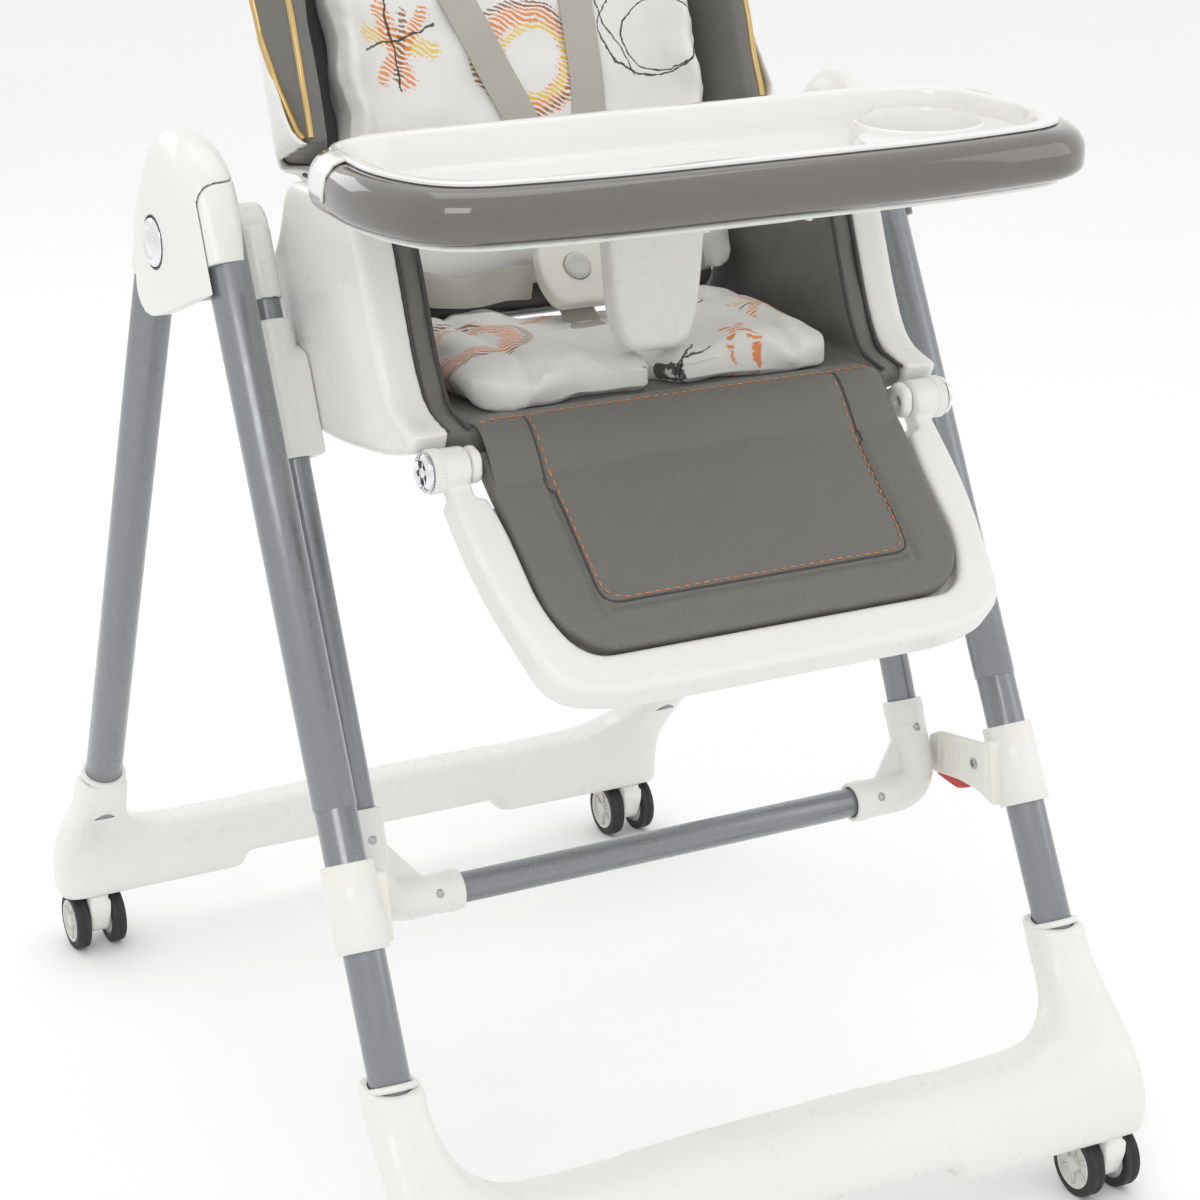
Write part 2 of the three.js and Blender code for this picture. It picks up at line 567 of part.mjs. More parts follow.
function addBackrest() {
  const { panel, wing, bottom, height, wingFrom } = BACK;
  const lowFront = (toY) => box([-230, -140, bottom - 30], [230, toY, wingFrom + 3]);
  const dish = common(frontExtrusion(backOutline(0), -130, 8, 5, 4, 2), backSection(0), behindSeam(0));
  const hollow = common(frontExtrusion(backOutline(3.6), -140, panel), backSection(3.6));
  add('backrest_shell', cut(dish, hollow, lowFront(panel - 8)), WHITE, backGroup);

  const pocketBack = panel - 14;
  const inside = common(frontExtrusion(backOutline(4), -130, panel - GAP), backSection(4));
  const lips = cut(frontExtrusion(backOutline(0.4), -130, panel - GAP), behindSeam(GAP));
  const section = symmetric([[151, pocketBack], [151, -44, 14], [170, wing, 6], [181, wing, 6],
    [BACK.halfWidth - 0.4, -64, 8], [BACK.halfWidth - 0.4, 0]]);
  const frontLine = sideExtrusion(outline([[60, bottom - 20], [-110, bottom - 20], [-110, 240, 60],
    [-62, height + 30], [60, height + 30]]), -230, 230);
  const padding = common(join(inside, lips), plate(section, bottom - 10, height + 10), frontLine);
  add('backrest_cover', cut(padding, lowFront(pocketBack)), LEATHERETTE, backGroup);

  const back = pocketBack - GAP;
  const hug = outline([[149.5, back, 16], [149.5, -86, 6], [134, -86, 8], [112, -50, 40],
    [-112, -50, 40], [-134, -86, 8], [-149.5, -86, 6], [-149.5, back, 16]]);
  const front = frontExtrusion(symmetric([[149, bottom + 6, 20], [149, 336, 40], [124, height - 28, 60]]),
    -140, 0);
  add('backrest_cushion', common(plate(hug, bottom, height), front), LINER, backGroup);

  const strap = box([44, -53, 40], [72, -50.4, 300]);
  addPair('shoulder_strap', strap, WEBBING, backGroup);

  const grip = frontExtrusion(symmetric([[40, 296, 8], [48, 318, 8]]), 8 + GAP, 24, 3, 3, 1);
  add('recline_handle', grip, BUCKLE_GREY, backGroup);
}

// ---- footrest, in its own axes: Y runs back up the panel to the pivot and Z stands out of it ----

const footGroup = new THREE.Group();
footGroup.position.set(0, FOOTREST_AXIS.y, FOOTREST_AXIS.z);
footGroup.rotation.x = FOOTREST_REST;
seatGroup.add(footGroup);

function addFootrest() {
  const { length, halfWidth, inner, depth, padHalf, barrelFrom, barrelTo } = FOOTREST;
  const bar = plate(symmetric([[128, -length - 2, 40], [170, -length + 10, 46], [halfWidth, -80, 60],
    [halfWidth, -1], [inner + 9, -1], [inner, -40, 30], [inner - 2, -116, 40], [142, -154, 34]]),
  -depth, 0, 4, 6, 2);
  const back = plate(symmetric([[150, -158, 40], [165, -100, 20], [165, -26, 4]]), -18, -12.5);
  const barrel = turnedOnX([[barrelFrom, 0], [barrelFrom, 14.5], [barrelTo, 14.5], [barrelTo, 0]], 0, 0);
  const lugRoom = turnedOnX([[-barrelFrom, 0], [-barrelFrom, 25], [barrelFrom, 25], [barrelFrom, 0]], 0, 0);
  const bore = turnedOnX([[-250, 0], [-250, 4 + BORE_GAP], [250, 4 + BORE_GAP], [250, 0]], 0, 0, 14);
  const openSeat = box([-inner + 1.5, -24, -60], [inner - 1.5, 60, 60]);
  const heelRoom = box([-230, -14, -40], [230, 20, -14]);
  const panel = cut(join(bar, back), lugRoom, openSeat, heelRoom);
  add('footrest_frame', cut(join(panel, barrel, mirrored(barrel)), bore), WHITE, footGroup);

  const pad = plate(symmetric([[130, -150, 40], [153, -124, 30], [padHalf, -20], [padHalf, 10]]), -12, 2, 3);
  add('footrest_pad', pad, LEATHERETTE, footGroup);

  const pivot = turnedOnX([[163, 0], [163, 4], [barrelTo + GAP, 4], [barrelTo + GAP, 13.5],
    [barrelTo + 3, 13.5], [barrelTo + 5, 11], [barrelTo + 5.5, 0]], 0, 0, 24);
  addPair('footrest_pivot', pivot, CHROME, footGroup);
}

// ---- tray ----

const trayGroup = new THREE.Group();
seatGroup.add(trayGroup);

function trayOutline(inset) {
  const { front, back } = TRAY;
  return symmetric([[130, front + inset, 60], [240 - inset, front + 14 + inset, 60], [264 - inset, -262, 50],
    [257 - inset, back - 41, 50], [214 - inset, back - inset, 50]]);
}

function addTray() {
  const { bottom, rimBottom, rimTop, liner } = TRAY;
  const base = plate(trayOutline(12), bottom, rimBottom - GAP, 1.5, 4, 1);
  const rails = [[-41, -36], [36, 41]].map(([low, high]) => box([low, -306, 733], [high, -266, rimBottom - 1]));
  const post = frontExtrusion(symmetric([[24, 622, 18], [33, 650, 24], [41, 746]]), -174, -150, 7, 6, 3);
  const postRoom = box([-60, -200, rimBottom - 1], [60, -100, 800]);
  add('tray_base', join(base, cut(post, postRoom), ...rails), WHITE, trayGroup);

  const ring = plate(trayOutline(0), rimBottom, rimTop, 11, 4, 2);
  add('tray_rim', cut(ring, plate(trayOutline(24), rimBottom - 20, rimTop + 20, 0, 4)), TRAY_GREY, trayGroup);

  const flange = plate(trayOutline(15), rimTop + GAP, liner, 1, 4, 1);
  const basin = plate(trayOutline(24.4), 756, rimTop + 1, 0, 4);
  const hollow = plate(trayOutline(26.5), 760, liner + 20, 1.5, 4, 1);
  const cup = [172, -226];
  const upright = (geometry, z) => geometry.rotateX(Math.PI / 2).translate(...cup, z);
  const cupOuter = upright(new THREE.CylinderGeometry(43.5, 45.5, 26.5, 20), 761.75);
  const cupInner = upright(new THREE.CylinderGeometry(42, 40, 40, 20), 771.5);
  const tab = box([228, -214, 758], [264.5, -184, liner - 0.8]);
  const rimRoom = plate(trayOutline(-GAP), rimBottom - 20, rimTop + GAP, 0, 4);
  const tabs = cut(tab, rimRoom);
  const deckEdge = [[86, -330], [262, -330], [262, -140], [178, -140], [156, -174], [124, -215],
    [101, -258]];
  const deckRing = (lean, z) => deckEdge.map(([x, y]) => [x + lean, y, z]);
  const deck = common(loft([deckRing(0, 757), deckRing(3, 772)]), plate(trayOutline(25), 757, 773, 0, 4));
  const dished = cut(join(cut(join(flange, basin), hollow), deck, cupOuter), cupInner);
  add('tray_liner', join(dished, tabs, mirrored(tabs)), LINER, trayGroup);

  const release = plate(symmetric([[35, -300, 8], [35, -272, 8]]), 733, bottom - GAP, 2, 3, 1);
  add('tray_release', release, BUCKLE_GREY, trayGroup);
}

addLegs();
add('front_base', baseBar(FRONT_LEG, BASE.front, CASTER.frontStem), WHITE);
add('rear_base', baseBar(REAR_LEG, BASE.rear, CASTER.rearStem), WHITE);
addHubs();
addGuideFrame();
addGuideBrackets();
addLocks();
for (const side of Object.keys(SIDES)) {
  addCaster('front', side, CASTER.frontStem);
  addCaster('rear', side, CASTER.rearStem);
}
addSeatShell();
addSeatSoftParts();
addSliders();
addHarness();
addBackrest();
addFootrest();
addTray();

export default chair;
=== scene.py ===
"""Looks of the folding baby high chair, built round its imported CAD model.

Shapes are written in millimetres, in the CAD's own frame. X is to the right seen from the front, and the
chair faces -Y.
"""
import math

import bmesh
import bpy
import numpy as np
from mathutils import Matrix, Vector, noise
from mathutils.bvhtree import BVHTree


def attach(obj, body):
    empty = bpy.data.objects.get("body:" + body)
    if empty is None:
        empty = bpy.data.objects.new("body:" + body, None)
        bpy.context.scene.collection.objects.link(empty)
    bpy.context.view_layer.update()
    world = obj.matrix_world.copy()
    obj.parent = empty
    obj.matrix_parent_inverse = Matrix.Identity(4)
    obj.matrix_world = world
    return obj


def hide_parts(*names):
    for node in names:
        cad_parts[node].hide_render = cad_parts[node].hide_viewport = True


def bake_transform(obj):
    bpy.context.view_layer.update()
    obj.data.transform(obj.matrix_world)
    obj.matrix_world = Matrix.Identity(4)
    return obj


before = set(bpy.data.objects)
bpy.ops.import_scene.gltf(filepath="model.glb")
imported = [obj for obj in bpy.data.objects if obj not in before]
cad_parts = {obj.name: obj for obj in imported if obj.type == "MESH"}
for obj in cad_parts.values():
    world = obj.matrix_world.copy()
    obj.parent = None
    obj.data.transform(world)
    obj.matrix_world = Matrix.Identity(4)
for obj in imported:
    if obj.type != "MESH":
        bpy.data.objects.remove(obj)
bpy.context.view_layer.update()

MM = 0.001
SIDES = {"left": -1, "right": 1}
scene = bpy.context.scene


def turned_frame(origin, degrees):
    return Matrix.Translation(origin) @ Matrix.Rotation(math.radians(degrees), 4, "X")


GUIDE = turned_frame((0, 10, 690), -23.3)
BACK = turned_frame((0, 50, 625), -20)
FOOT = turned_frame((0, -222, 577), 40)
BUCKLE = turned_frame((0, -46, 652), -38)
WORLD = Matrix.Identity(4)

LEG_BORE = 15.3
GUIDE_X = 224
GUIDE_BORE = 11.3
FOLD_Y, FOLD_Z = 30, 690
HUB_MIDDLE = 266.5

# ---- camera ----

camera = bpy.data.objects.new("camera", bpy.data.cameras.new("camera"))
scene.collection.objects.link(camera)
scene.camera = camera
camera.data.lens = 88.0
camera.data.sensor_width = 36.0
camera.data.clip_start = 0.05
AZIMUTH, ELEVATION, ROLL = map(math.radians, (-27.556, 19.261, -0.209))
back = Vector((math.sin(AZIMUTH) * math.cos(ELEVATION), -math.cos(AZIMUTH) * math.cos(ELEVATION),
               math.sin(ELEVATION)))
level = (-back).cross(Vector((0, 0, 1))).normalized()
above = level.cross(-back)
right = level * math.cos(ROLL) + above * math.sin(ROLL)
up = above * math.cos(ROLL) - level * math.sin(ROLL)
camera.matrix_world = Matrix.Translation((-0.9436, -1.8920, 1.1266)) @ Matrix((right, up,
    back)).transposed().to_4x4()

# ---- mesh helpers ----


def link(name, mesh):
    piece = bpy.data.objects.new(name, mesh)
    scene.collection.objects.link(piece)
    return piece


def make(name, verts, faces, place=WORLD):
    """A mesh from points in millimetres in the frame called place, with its faces turned outwards."""
    mesh = bpy.data.meshes.new(name)
    mesh.from_pydata([tuple((place @ Vector(v)) * MM) for v in verts], [], faces)
    mesh.validate()
    piece = link(name, mesh)
    face_out(mesh)
    return piece


def face_out(mesh):
    work = bmesh.new()
    work.from_mesh(mesh)
    bmesh.ops.recalc_face_normals(work, faces=work.faces)
    work.to_mesh(mesh)
    work.free()


def bake(piece):
    mesh = bpy.data.meshes.new_from_object(piece.evaluated_get(bpy.context.evaluated_depsgraph_get()))
    piece.modifiers.clear()
    piece.data = mesh
    return piece


def combine(piece, tool, operation):
    change = piece.modifiers.new("combine", "BOOLEAN")
    change.operation, change.object, change.solver = operation, tool, "MANIFOLD"
    bake(piece)
    bpy.data.objects.remove(tool)
    return piece


def cut(piece, *tools):
    for tool in tools:
        combine(piece, tool, "DIFFERENCE")
    return piece


def join(piece, *others):
    for other in others:
        combine(piece, other, "UNION")
    return piece


def common(piece, *others):
    for other in others:
        combine(piece, other, "INTERSECT")
    return piece


def merged(name, pieces):
    """One object with the meshes of several, left as separate shells."""
    verts, faces, marks = [], [], []
    for piece in pieces:
        first = len(verts)
        verts += [v.co.copy() for v in piece.data.vertices]
        faces += [tuple(first + i for i in p.vertices) for p in piece.data.polygons]
        marks += [p.use_smooth for p in piece.data.polygons]
        bpy.data.objects.remove(piece)
    mesh = bpy.data.meshes.new(name)
    mesh.from_pydata(verts, [], faces)
    mesh.polygons.foreach_set("use_smooth", marks)
    return link(name, mesh)


def remesh(piece, voxel):
    change = piece.modifiers.new("remesh", "REMESH")
    change.mode, change.voxel_size = "VOXEL", voxel * MM
    return bake(piece)


def points_of(mesh):
    co = np.empty(len(mesh.vertices) * 3)
    mesh.vertices.foreach_get("co", co)
    return co.reshape(-1, 3)


def set_points(mesh, co):
    mesh.vertices.foreach_set("co", co.ravel())
    mesh.update()


def relax(piece, passes, shrink=False):
    """Evens out the surface; without shrink each pass is undone at large scale, so the size stays."""
    mesh = piece.data
    co = points_of(mesh)
    count = len(co)
    ends = np.empty(len(mesh.edges) * 2, int)
    mesh.edges.foreach_get("vertices", ends)
    a, b = ends[0::2], ends[1::2]
    degree = np.maximum(np.bincount(a, minlength=count) + np.bincount(b, minlength=count), 1)[:, None]
    for _ in range(passes):
        for share in (0.5,) if shrink else (0.5, -0.53):
            total = [np.bincount(a, co[b, k], count) + np.bincount(b, co[a, k], count) for k in range(3)]
            co += share * (np.stack(total, 1) / degree - co)
    set_points(mesh, co)
    return piece


def smooth(piece, sharp=40):
    mesh = piece.data
    mesh.polygons.foreach_set("use_smooth", [True] * len(mesh.polygons))
    if sharp:
        mesh.set_sharp_from_angle(angle=math.radians(sharp))
    return piece


def cad_copy(name, node):
    """The CAD node's own mesh, with the seams between its faces welded so that booleans accept it."""
    piece = link(name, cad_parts[node].data.copy())
    piece.data.materials.clear()
    work = bmesh.new()
    work.from_mesh(piece.data)
    bmesh.ops.remove_doubles(work, verts=work.verts, dist=0.005 * MM)
    work.to_mesh(piece.data)
    work.free()
    return piece


def from_cad(name, node, voxel, passes, shrink=0):
    """The CAD node's shape with a fine skin and softly moulded edges."""
    piece = cad_copy(name, node)
    remesh(piece, voxel)
    relax(piece, passes)
    relax(piece, shrink, shrink=True)
    return smooth(piece, None)


def mirrored(piece, name):
    mesh = piece.data.copy()
    mesh.transform(Matrix.Scale(-1, 4, (1, 0, 0)))
    mesh.flip_normals()
    return link(name, mesh)


# ---- shape helpers ----


def outline(corners, steps=10):
    """A closed outline from [u, v, radius] corners. A radius rounds its corner, to half its shorter edge."""
    spots = [Vector(c[:2]) for c in corners]
    made = []
    for i, here in enumerate(spots):
        before, after = spots[i - 1], spots[(i + 1) % len(spots)]
        room = 0.48 * min((here - before).length, (here - after).length)
        radius = min(corners[i][2] if len(corners[i]) > 2 else 0, room)
        if radius <= 0:
            made.append(here)
            continue
        start = here + (before - here).normalized() * radius
        end = here + (after - here).normalized() * radius
        made += [start.lerp(here, t / steps).lerp(here.lerp(end, t / steps), t / steps)
                 for t in range(steps + 1)]
    return [(p.x, p.y) for p in made]


def symmetric(corners, steps=10):
    return outline([*corners, *[[-c[0], *c[1:]] for c in reversed(corners)]], steps)


def side_view(u, v, depth):
    return depth, u, v


def front_view(u, v, depth):
    return u, depth, v


def top_view(u, v, depth):
    return u, v, depth


def prism(name, shape, low, high, view, place=WORLD):
    count = len(shape)
    verts = [view(u, v, low) for u, v in shape] + [view(u, v, high) for u, v in shape]
    walls = [(i, (i + 1) % count, count + (i + 1) % count, count + i) for i in range(count)]
    return make(name, verts, [tuple(reversed(range(count))), tuple(range(count, 2 * count)), *walls], place)


def box(low, high, place=WORLD):
    shape = [(low[0], low[1]), (high[0], low[1]), (high[0], high[1]), (low[0], high[1])]
    return prism("tool", shape, low[2], high[2], top_view, place)


def loft(name, rings, closed=False, place=WORLD):
    """A skin through equal rings of points, with flat ends unless it closes on itself."""
    count, total = len(rings[0]), len(rings)
    faces = [(r * count + k, r * count + (k + 1) % count, (r + 1) % total * count + (k + 1) % count,
              (r + 1) % total * count + k) for r in range(total if closed else total - 1)
             for k in range(count)]
    if not closed:
        faces += [tuple(range(count)), tuple(range((total - 1) * count, total * count))]
    return make(name, [p for ring in rings for p in ring], faces, place)


def turned(name, profile, start, end, sides=64, place=WORLD, hollow=False):
    """A lathe piece: [millimetres from start, radius] pairs; a hollow one is a closed ring round its axis."""
    start, end = Vector(start), Vector(end)
    axis = (end - start).normalized()
    across = axis.cross(Vector((0.3, 0.7, 0.64))).normalized()
    other = axis.cross(across)
    rings = []
    for along, radius in profile:
        middle = start + axis * along
        rings.append([middle + (across * math.cos(a) + other * math.sin(a)) * max(radius, 0.01)
                      for a in (2 * math.pi * k / sides for k in range(sides))])
    return loft(name, rings, hollow, place)


def tube(name, start, end, radius, lip=0.8, sides=64, place=WORLD):
    """A round bar with softly broken ends."""
    length = (Vector(end) - Vector(start)).length
    profile = [[0, radius - lip], [lip * 0.3, radius - lip * 0.3], [lip, radius], [length - lip, radius],
               [length - lip * 0.3, radius - lip * 0.3], [length, radius - lip]]
    return turned(name, profile, start, end, sides, place)


def rod(start, end, radius, place=WORLD):
    return turned("tool", [[0, radius], [(Vector(end) - Vector(start)).length, radius]], start, end, 48,
                  place)


def spline(points, steps=8, closed=False):
    """A smooth line through the points."""
    spots = [Vector(p).to_3d() for p in points]
    count = len(spots)
    made = []
    for i in range(count if closed else count - 1):
        p = [spots[(i + k) % count] if closed else spots[min(max(i + k, 0), count - 1)]
             for k in (-1, 0, 1, 2)]
        for s in range(steps):
            t = s / steps
            made.append(0.5 * (2 * p[1] + (p[2] - p[0]) * t + (2 * p[0] - 5 * p[1] + 4 * p[2] - p[3]) * t * t
                               + (3 * p[1] - p[0] - 3 * p[2] + p[3]) * t ** 3))
    return made if closed else [*made, spots[-1]]


def even(path, spacing):
    """Points a set distance apart along a line."""
    lengths = np.concatenate([[0], np.cumsum([(b - a).length for a, b in zip(path, path[1:])])])
    count = max(int(lengths[-1] / spacing), 2)
    where = np.linspace(0, lengths[-1], count + 1)
    return [Vector(p) for p in np.stack([np.interp(where, lengths, [q[k] for q in path]) for k in range(3)],
                                        1)]


def frames(path, normal):
    """At each point of a line: the point, the way across the strip and the way out of it."""
    made = []
    for i, here in enumerate(path):
        ahead = (path[min(i + 1, len(path) - 1)] - path[max(i - 1, 0)]).normalized()
        out = normal(here, i / (len(path) - 1)) if callable(normal) else Vector(normal)
        across = ahead.cross(out).normalized()
        made.append((here, across, across.cross(ahead).normalized()))
    return made


def swept(name, path, section, normal=(0, 0, 1), closed=False, place=WORLD):
    """A section of [across, out] points carried along a line, or a function of the share of the way."""
    rings = []
    for i, (here, across, out) in enumerate(frames(path, normal)):
        ring = section(i / (len(path) - 1)) if callable(section) else section
        rings.append([here + across * u + out * v for u, v in ring])
    return smooth(loft(name, rings, closed, place), 50)


def circle(radius, sides=12):
    return [(radius * math.cos(2 * math.pi * k / sides), radius * math.sin(2 * math.pi * k / sides))
            for k in range(sides)]


def super_ring(count, squareness):
    made = []
    for k in range(count):
        angle = 2 * math.pi * k / count
        made.append([math.copysign(abs(f(angle)) ** squareness, f(angle)) for f in (math.cos, math.sin)])
    return made


def piping(name, path, radius, normal=(0, 0, 1), place=WORLD):
    return swept(name, even(spline(path, 12), 3.0), circle(radius), normal, place=place)


def stitches(name, path, normal=(0, 0, 1), length=4.6, gap=2.6, thick=0.62, place=WORLD):
    """A sewn line: short threads, each a bead that dives in at both ends."""
    line = even(path, length + gap)
    verts, faces = [], []
    for (here, across, out), after in zip(frames(line, normal), line[1:]):
        ahead = (after - here).normalized()
        first = len(verts)
        for k in range(5):
            t = k / 4
            bulge = math.sin(math.pi * t)
            middle = here + ahead * (length * t) + out * (0.5 * bulge - 0.15)
            size = thick * (0.35 + 0.65 * bulge)
            verts += [middle + across * (u * size) + out * (v * size) for u, v in circle(1, 6)]
        for ring in range(4):
            faces += [(first + ring * 6 + k, first + ring * 6 + (k + 1) % 6,
                       first + ring * 6 + 6 + (k + 1) % 6, first + ring * 6 + 6 + k) for k in range(6)]
        faces += [tuple(range(first, first + 6)), tuple(range(first + 24, first + 30))]
    return smooth(make(name, verts, faces, place), None)


def screw(name, centre, axis, radius, place=WORLD):
    """A pan head screw with a cross recess."""
    centre, axis = Vector(centre), Vector(axis).normalized()
    head = turned(name, [[-1, radius], [0.5, radius], [1.1, radius * 0.86], [1.5, radius * 0.5], [1.6, 0]],
                  centre, centre + axis, 32, place)
    across = axis.cross(Vector((0.2, 0.3, 0.93))).normalized()
    other = axis.cross(across)
    for u, v in ((across, other), (other, across)):
        shape = [(a, b) for a, b in ((-0.62, -0.14), (0.62, -0.14), (0.62, 0.14), (-0.62, 0.14))]
        slot = prism("tool", shape, 0.4, 3, lambda a, b, d: centre + (u * a + v * b) * radius + axis * d,
                     place)
        cut(head, slot)
    return smooth(head, 30)


# ---- materials ----


class Nodes:
    """A material's node tree, with short calls for the nodes the looks use."""

    def __init__(self, name, colour, roughness, metallic=0.0, **fixed):
        self.material = bpy.data.materials.new(name)
        self.material.use_nodes = True
        self.tree = self.material.node_tree
        self.shader = self.tree.nodes["Principled BSDF"]
        self.set("Base Color", (*colour, 1))
        self.set("Roughness", roughness)
        self.set("Metallic", metallic)
        for socket, value in fixed.items():
            self.set(socket.replace("_", " "), value)
        self.place = self.add("ShaderNodeTexCoord").outputs["Object"]

    def set(self, socket, value):
        if isinstance(value, bpy.types.NodeSocket):
            self.tree.links.new(value, self.shader.inputs[socket])
        else:
            self.shader.inputs[socket].default_value = value

    def add(self, kind, *values, **settings):
        node = self.tree.nodes.new(kind)
        for key, value in settings.items():
            setattr(node, key, value)
        for socket, value in values:
            if isinstance(value, bpy.types.NodeSocket):
                self.tree.links.new(value, node.inputs[socket])
            else:
                node.inputs[socket].default_value = value
        return node

    def math(self, operation, a, b=0.0):
        return self.add("ShaderNodeMath", (0, a), (1, b), operation=operation).outputs[0]

    def noise(self, scale, detail=2.0, vector=None):
        return self.add("ShaderNodeTexNoise", ("Vector", vector or self.place), ("Scale", scale),
                        ("Detail", detail)).outputs[0]

    def spread(self, value, low, high, to_low=0.0, to_high=1.0):
        return self.add("ShaderNodeMapRange", (0, value), (1, low), (2, high), (3, to_low),
                        (4, to_high)).outputs[0]

    def mix(self, factor, a, b):
        node = self.add("ShaderNodeMix", data_type="RGBA")
        for socket, value in ((0, factor), (6, a), (7, b)):
            if isinstance(value, bpy.types.NodeSocket):
                self.tree.links.new(value, node.inputs[socket])
            else:
                node.inputs[socket].default_value = value if socket == 0 else (*value[:3], 1)
        return node.outputs[2]

    def bump(self, height, distance, strength=1.0):
        last = self.shader.inputs["Normal"].links
        values = [("Height", height), ("Distance", distance), ("Strength", strength)]
        if last:
            values.append(("Normal", last[0].from_socket))
        self.set("Normal", self.add("ShaderNodeBump", *values).outputs[0])


def moulded(name, colour, roughness, mottle=0.03, **fixed):
    """Moulded plastic: a faint mottle, uneven gloss and a fine skin."""
    made = Nodes(name, colour, roughness, **fixed)
    patch = made.noise(14.0, 3.0)
    made.set("Base Color", made.mix(patch, [c * (1 - mottle) for c in colour],
                                    [min(c * (1 + mottle), 1) for c in colour]))
    made.set("Roughness", made.spread(made.noise(60.0, 4.0), 0.3, 0.7, roughness * 0.85, roughness * 1.2))
    made.bump(made.noise(120.0, 2.0), 0.00008, 0.12)
    return made.material


def brushed(name, colour, roughness, metallic):
    made = Nodes(name, colour, roughness, metallic, Coat_Weight=0.5, Coat_Roughness=0.08)
    fleck = made.noise(260.0, 2.0)
    made.set("Base Color", made.mix(fleck, [c * 0.94 for c in colour], [c * 1.06 for c in colour]))
    made.set("Roughness", made.spread(made.noise(90.0, 3.0), 0.3, 0.7, roughness * 0.8, roughness * 1.25))
    return made.material


def leather(name, colour, grain=1.0):
    made = Nodes(name, colour, 0.48, Sheen_Weight=0.12, Sheen_Roughness=0.5)
    warp = made.add("ShaderNodeVectorMath", (0, made.place), operation="ADD")
    shift = made.add("ShaderNodeTexNoise", ("Vector", made.place), ("Scale", 260.0))
    small = made.add("ShaderNodeVectorMath", (0, shift.outputs["Color"]), ("Scale", 0.0016),
                     operation="SCALE")
    made.tree.links.new(small.outputs[0], warp.inputs[1])
    cells = made.add("ShaderNodeTexVoronoi", ("Vector", warp.outputs[0]), ("Scale", 620.0 * grain),
                     feature="DISTANCE_TO_EDGE").outputs["Distance"]
    pebble = made.spread(cells, 0.0, 0.35)
    fade = made.noise(11.0, 4.0)
    # Darker where the grain cells meet: painted shade in the grain's creases; the large patches (fade) are
    # random tone.
    made.set("Base Color", made.mix(made.math("MULTIPLY", pebble, fade), [c * 0.86 for c in colour],
                                    [min(c * 1.16, 1) for c in colour]))
    made.set("Roughness", made.spread(pebble, 0.0, 1.0, 0.62, 0.42))
    made.bump(made.noise(45.0, 2.0), 0.0012, 0.2)
    made.bump(pebble, 0.0002, 0.4)
    return made.material


def woven(made, pitch, depth, u, v):
    """Threads over and under, in the plane of u and v."""
    wave_u = made.math("SINE", made.math("MULTIPLY", u, 2 * math.pi / pitch))
    wave_v = made.math("SINE", made.math("MULTIPLY", v, 2 * math.pi / pitch))
    weave = made.math("MULTIPLY", wave_u, wave_v)
    made.bump(weave, depth, 0.6)
    return weave


def split(made, vector):
    return made.add("ShaderNodeSeparateXYZ", (0, vector)).outputs


def inked(name, strokes, upright):
    """White padded cotton with loose pen and brush marks, in millimetres across and along the cushion."""
    colour = (0.80, 0.79, 0.765)
    made = Nodes(name, colour, 0.88, Sheen_Weight=0.25, Sheen_Roughness=0.6)
    x, y, z = split(made, made.place)
    if upright:
        lean = math.radians(20)
        v = made.math("ADD", made.math("MULTIPLY", made.math("SUBTRACT", y, 0.05), math.sin(lean)),
                      made.math("MULTIPLY", made.math("SUBTRACT", z, 0.625), math.cos(lean)))
    else:
        v = y
    weave = woven(made, 0.0011, 0.00012, x, v)
    made.bump(made.noise(240.0, 3.0), 0.0006, 0.25)
    wobble_a, wobble_b = made.noise(38.0, 3.0), made.noise(46.0, 3.0)
    scratch = made.noise(420.0, 3.0)
    u_mm = made.math("ADD", made.math("MULTIPLY", x, 1000.0), made.math("MULTIPLY",
        made.math("SUBTRACT", wobble_a, 0.5), 13.0))
    v_mm = made.math("ADD", made.math("MULTIPLY", v, 1000.0), made.math("MULTIPLY",
        made.math("SUBTRACT", wobble_b, 0.5), 13.0))
    spot = made.add("ShaderNodeCombineXYZ", (0, u_mm), (1, v_mm)).outputs[0]
    shade = made.mix(made.noise(9.0, 3.0), [c * 0.965 for c in colour], colour)
    shade = made.mix(made.spread(weave, -1, 1, 0.0, 0.10), shade, [c * 0.82 for c in colour])
    base = shade
    slope = made.math("ADD", made.math("MULTIPLY", u_mm, 0.75), made.math("MULTIPLY", v_mm, 1.55))
    hatch = made.spread(made.math("SINE", made.math("ADD", slope, made.math("MULTIPLY", wobble_a, 6.0))),
                        -0.45, 0.1)
    for kind, ink, width, numbers in strokes:
        if kind == "ring":
            cx, cy, radius = numbers
            gone = made.add("ShaderNodeVectorMath", (0, spot), (1, (cx, cy, 0)),
                            operation="DISTANCE").outputs["Value"]
            away = made.math("ABSOLUTE", made.math("SUBTRACT", gone, radius))
        else:
            ax, ay, bx, by = numbers
            length = math.hypot(bx - ax, by - ay)
            along = ((bx - ax) / length, (by - ay) / length, 0)
            from_a = made.add("ShaderNodeVectorMath", (0, spot), (1, (ax, ay, 0)),
                              operation="SUBTRACT").outputs[0]
            reach = made.add("ShaderNodeVectorMath", (0, from_a), (1, along),
                             operation="DOT_PRODUCT").outputs["Value"]
            held = made.math("MINIMUM", made.math("MAXIMUM", reach, 0.0), length)
            foot = made.add("ShaderNodeVectorMath", (0, along), ("Scale", held), operation="SCALE").outputs[0]
            away = made.add("ShaderNodeVectorMath", (0, from_a), (1, foot),
                            operation="DISTANCE").outputs["Value"]
        edge = made.math("ADD", away, made.math("MULTIPLY", made.math("SUBTRACT", scratch, 0.5), width * 1.1))
        mark = made.spread(edge, width * 0.42, width * 0.62, 0.92, 0.0)
        if width > 4:
            mark = made.math("MULTIPLY", mark, hatch)
        base = made.mix(mark, base, ink)
    made.set("Base Color", base)
    return made.material


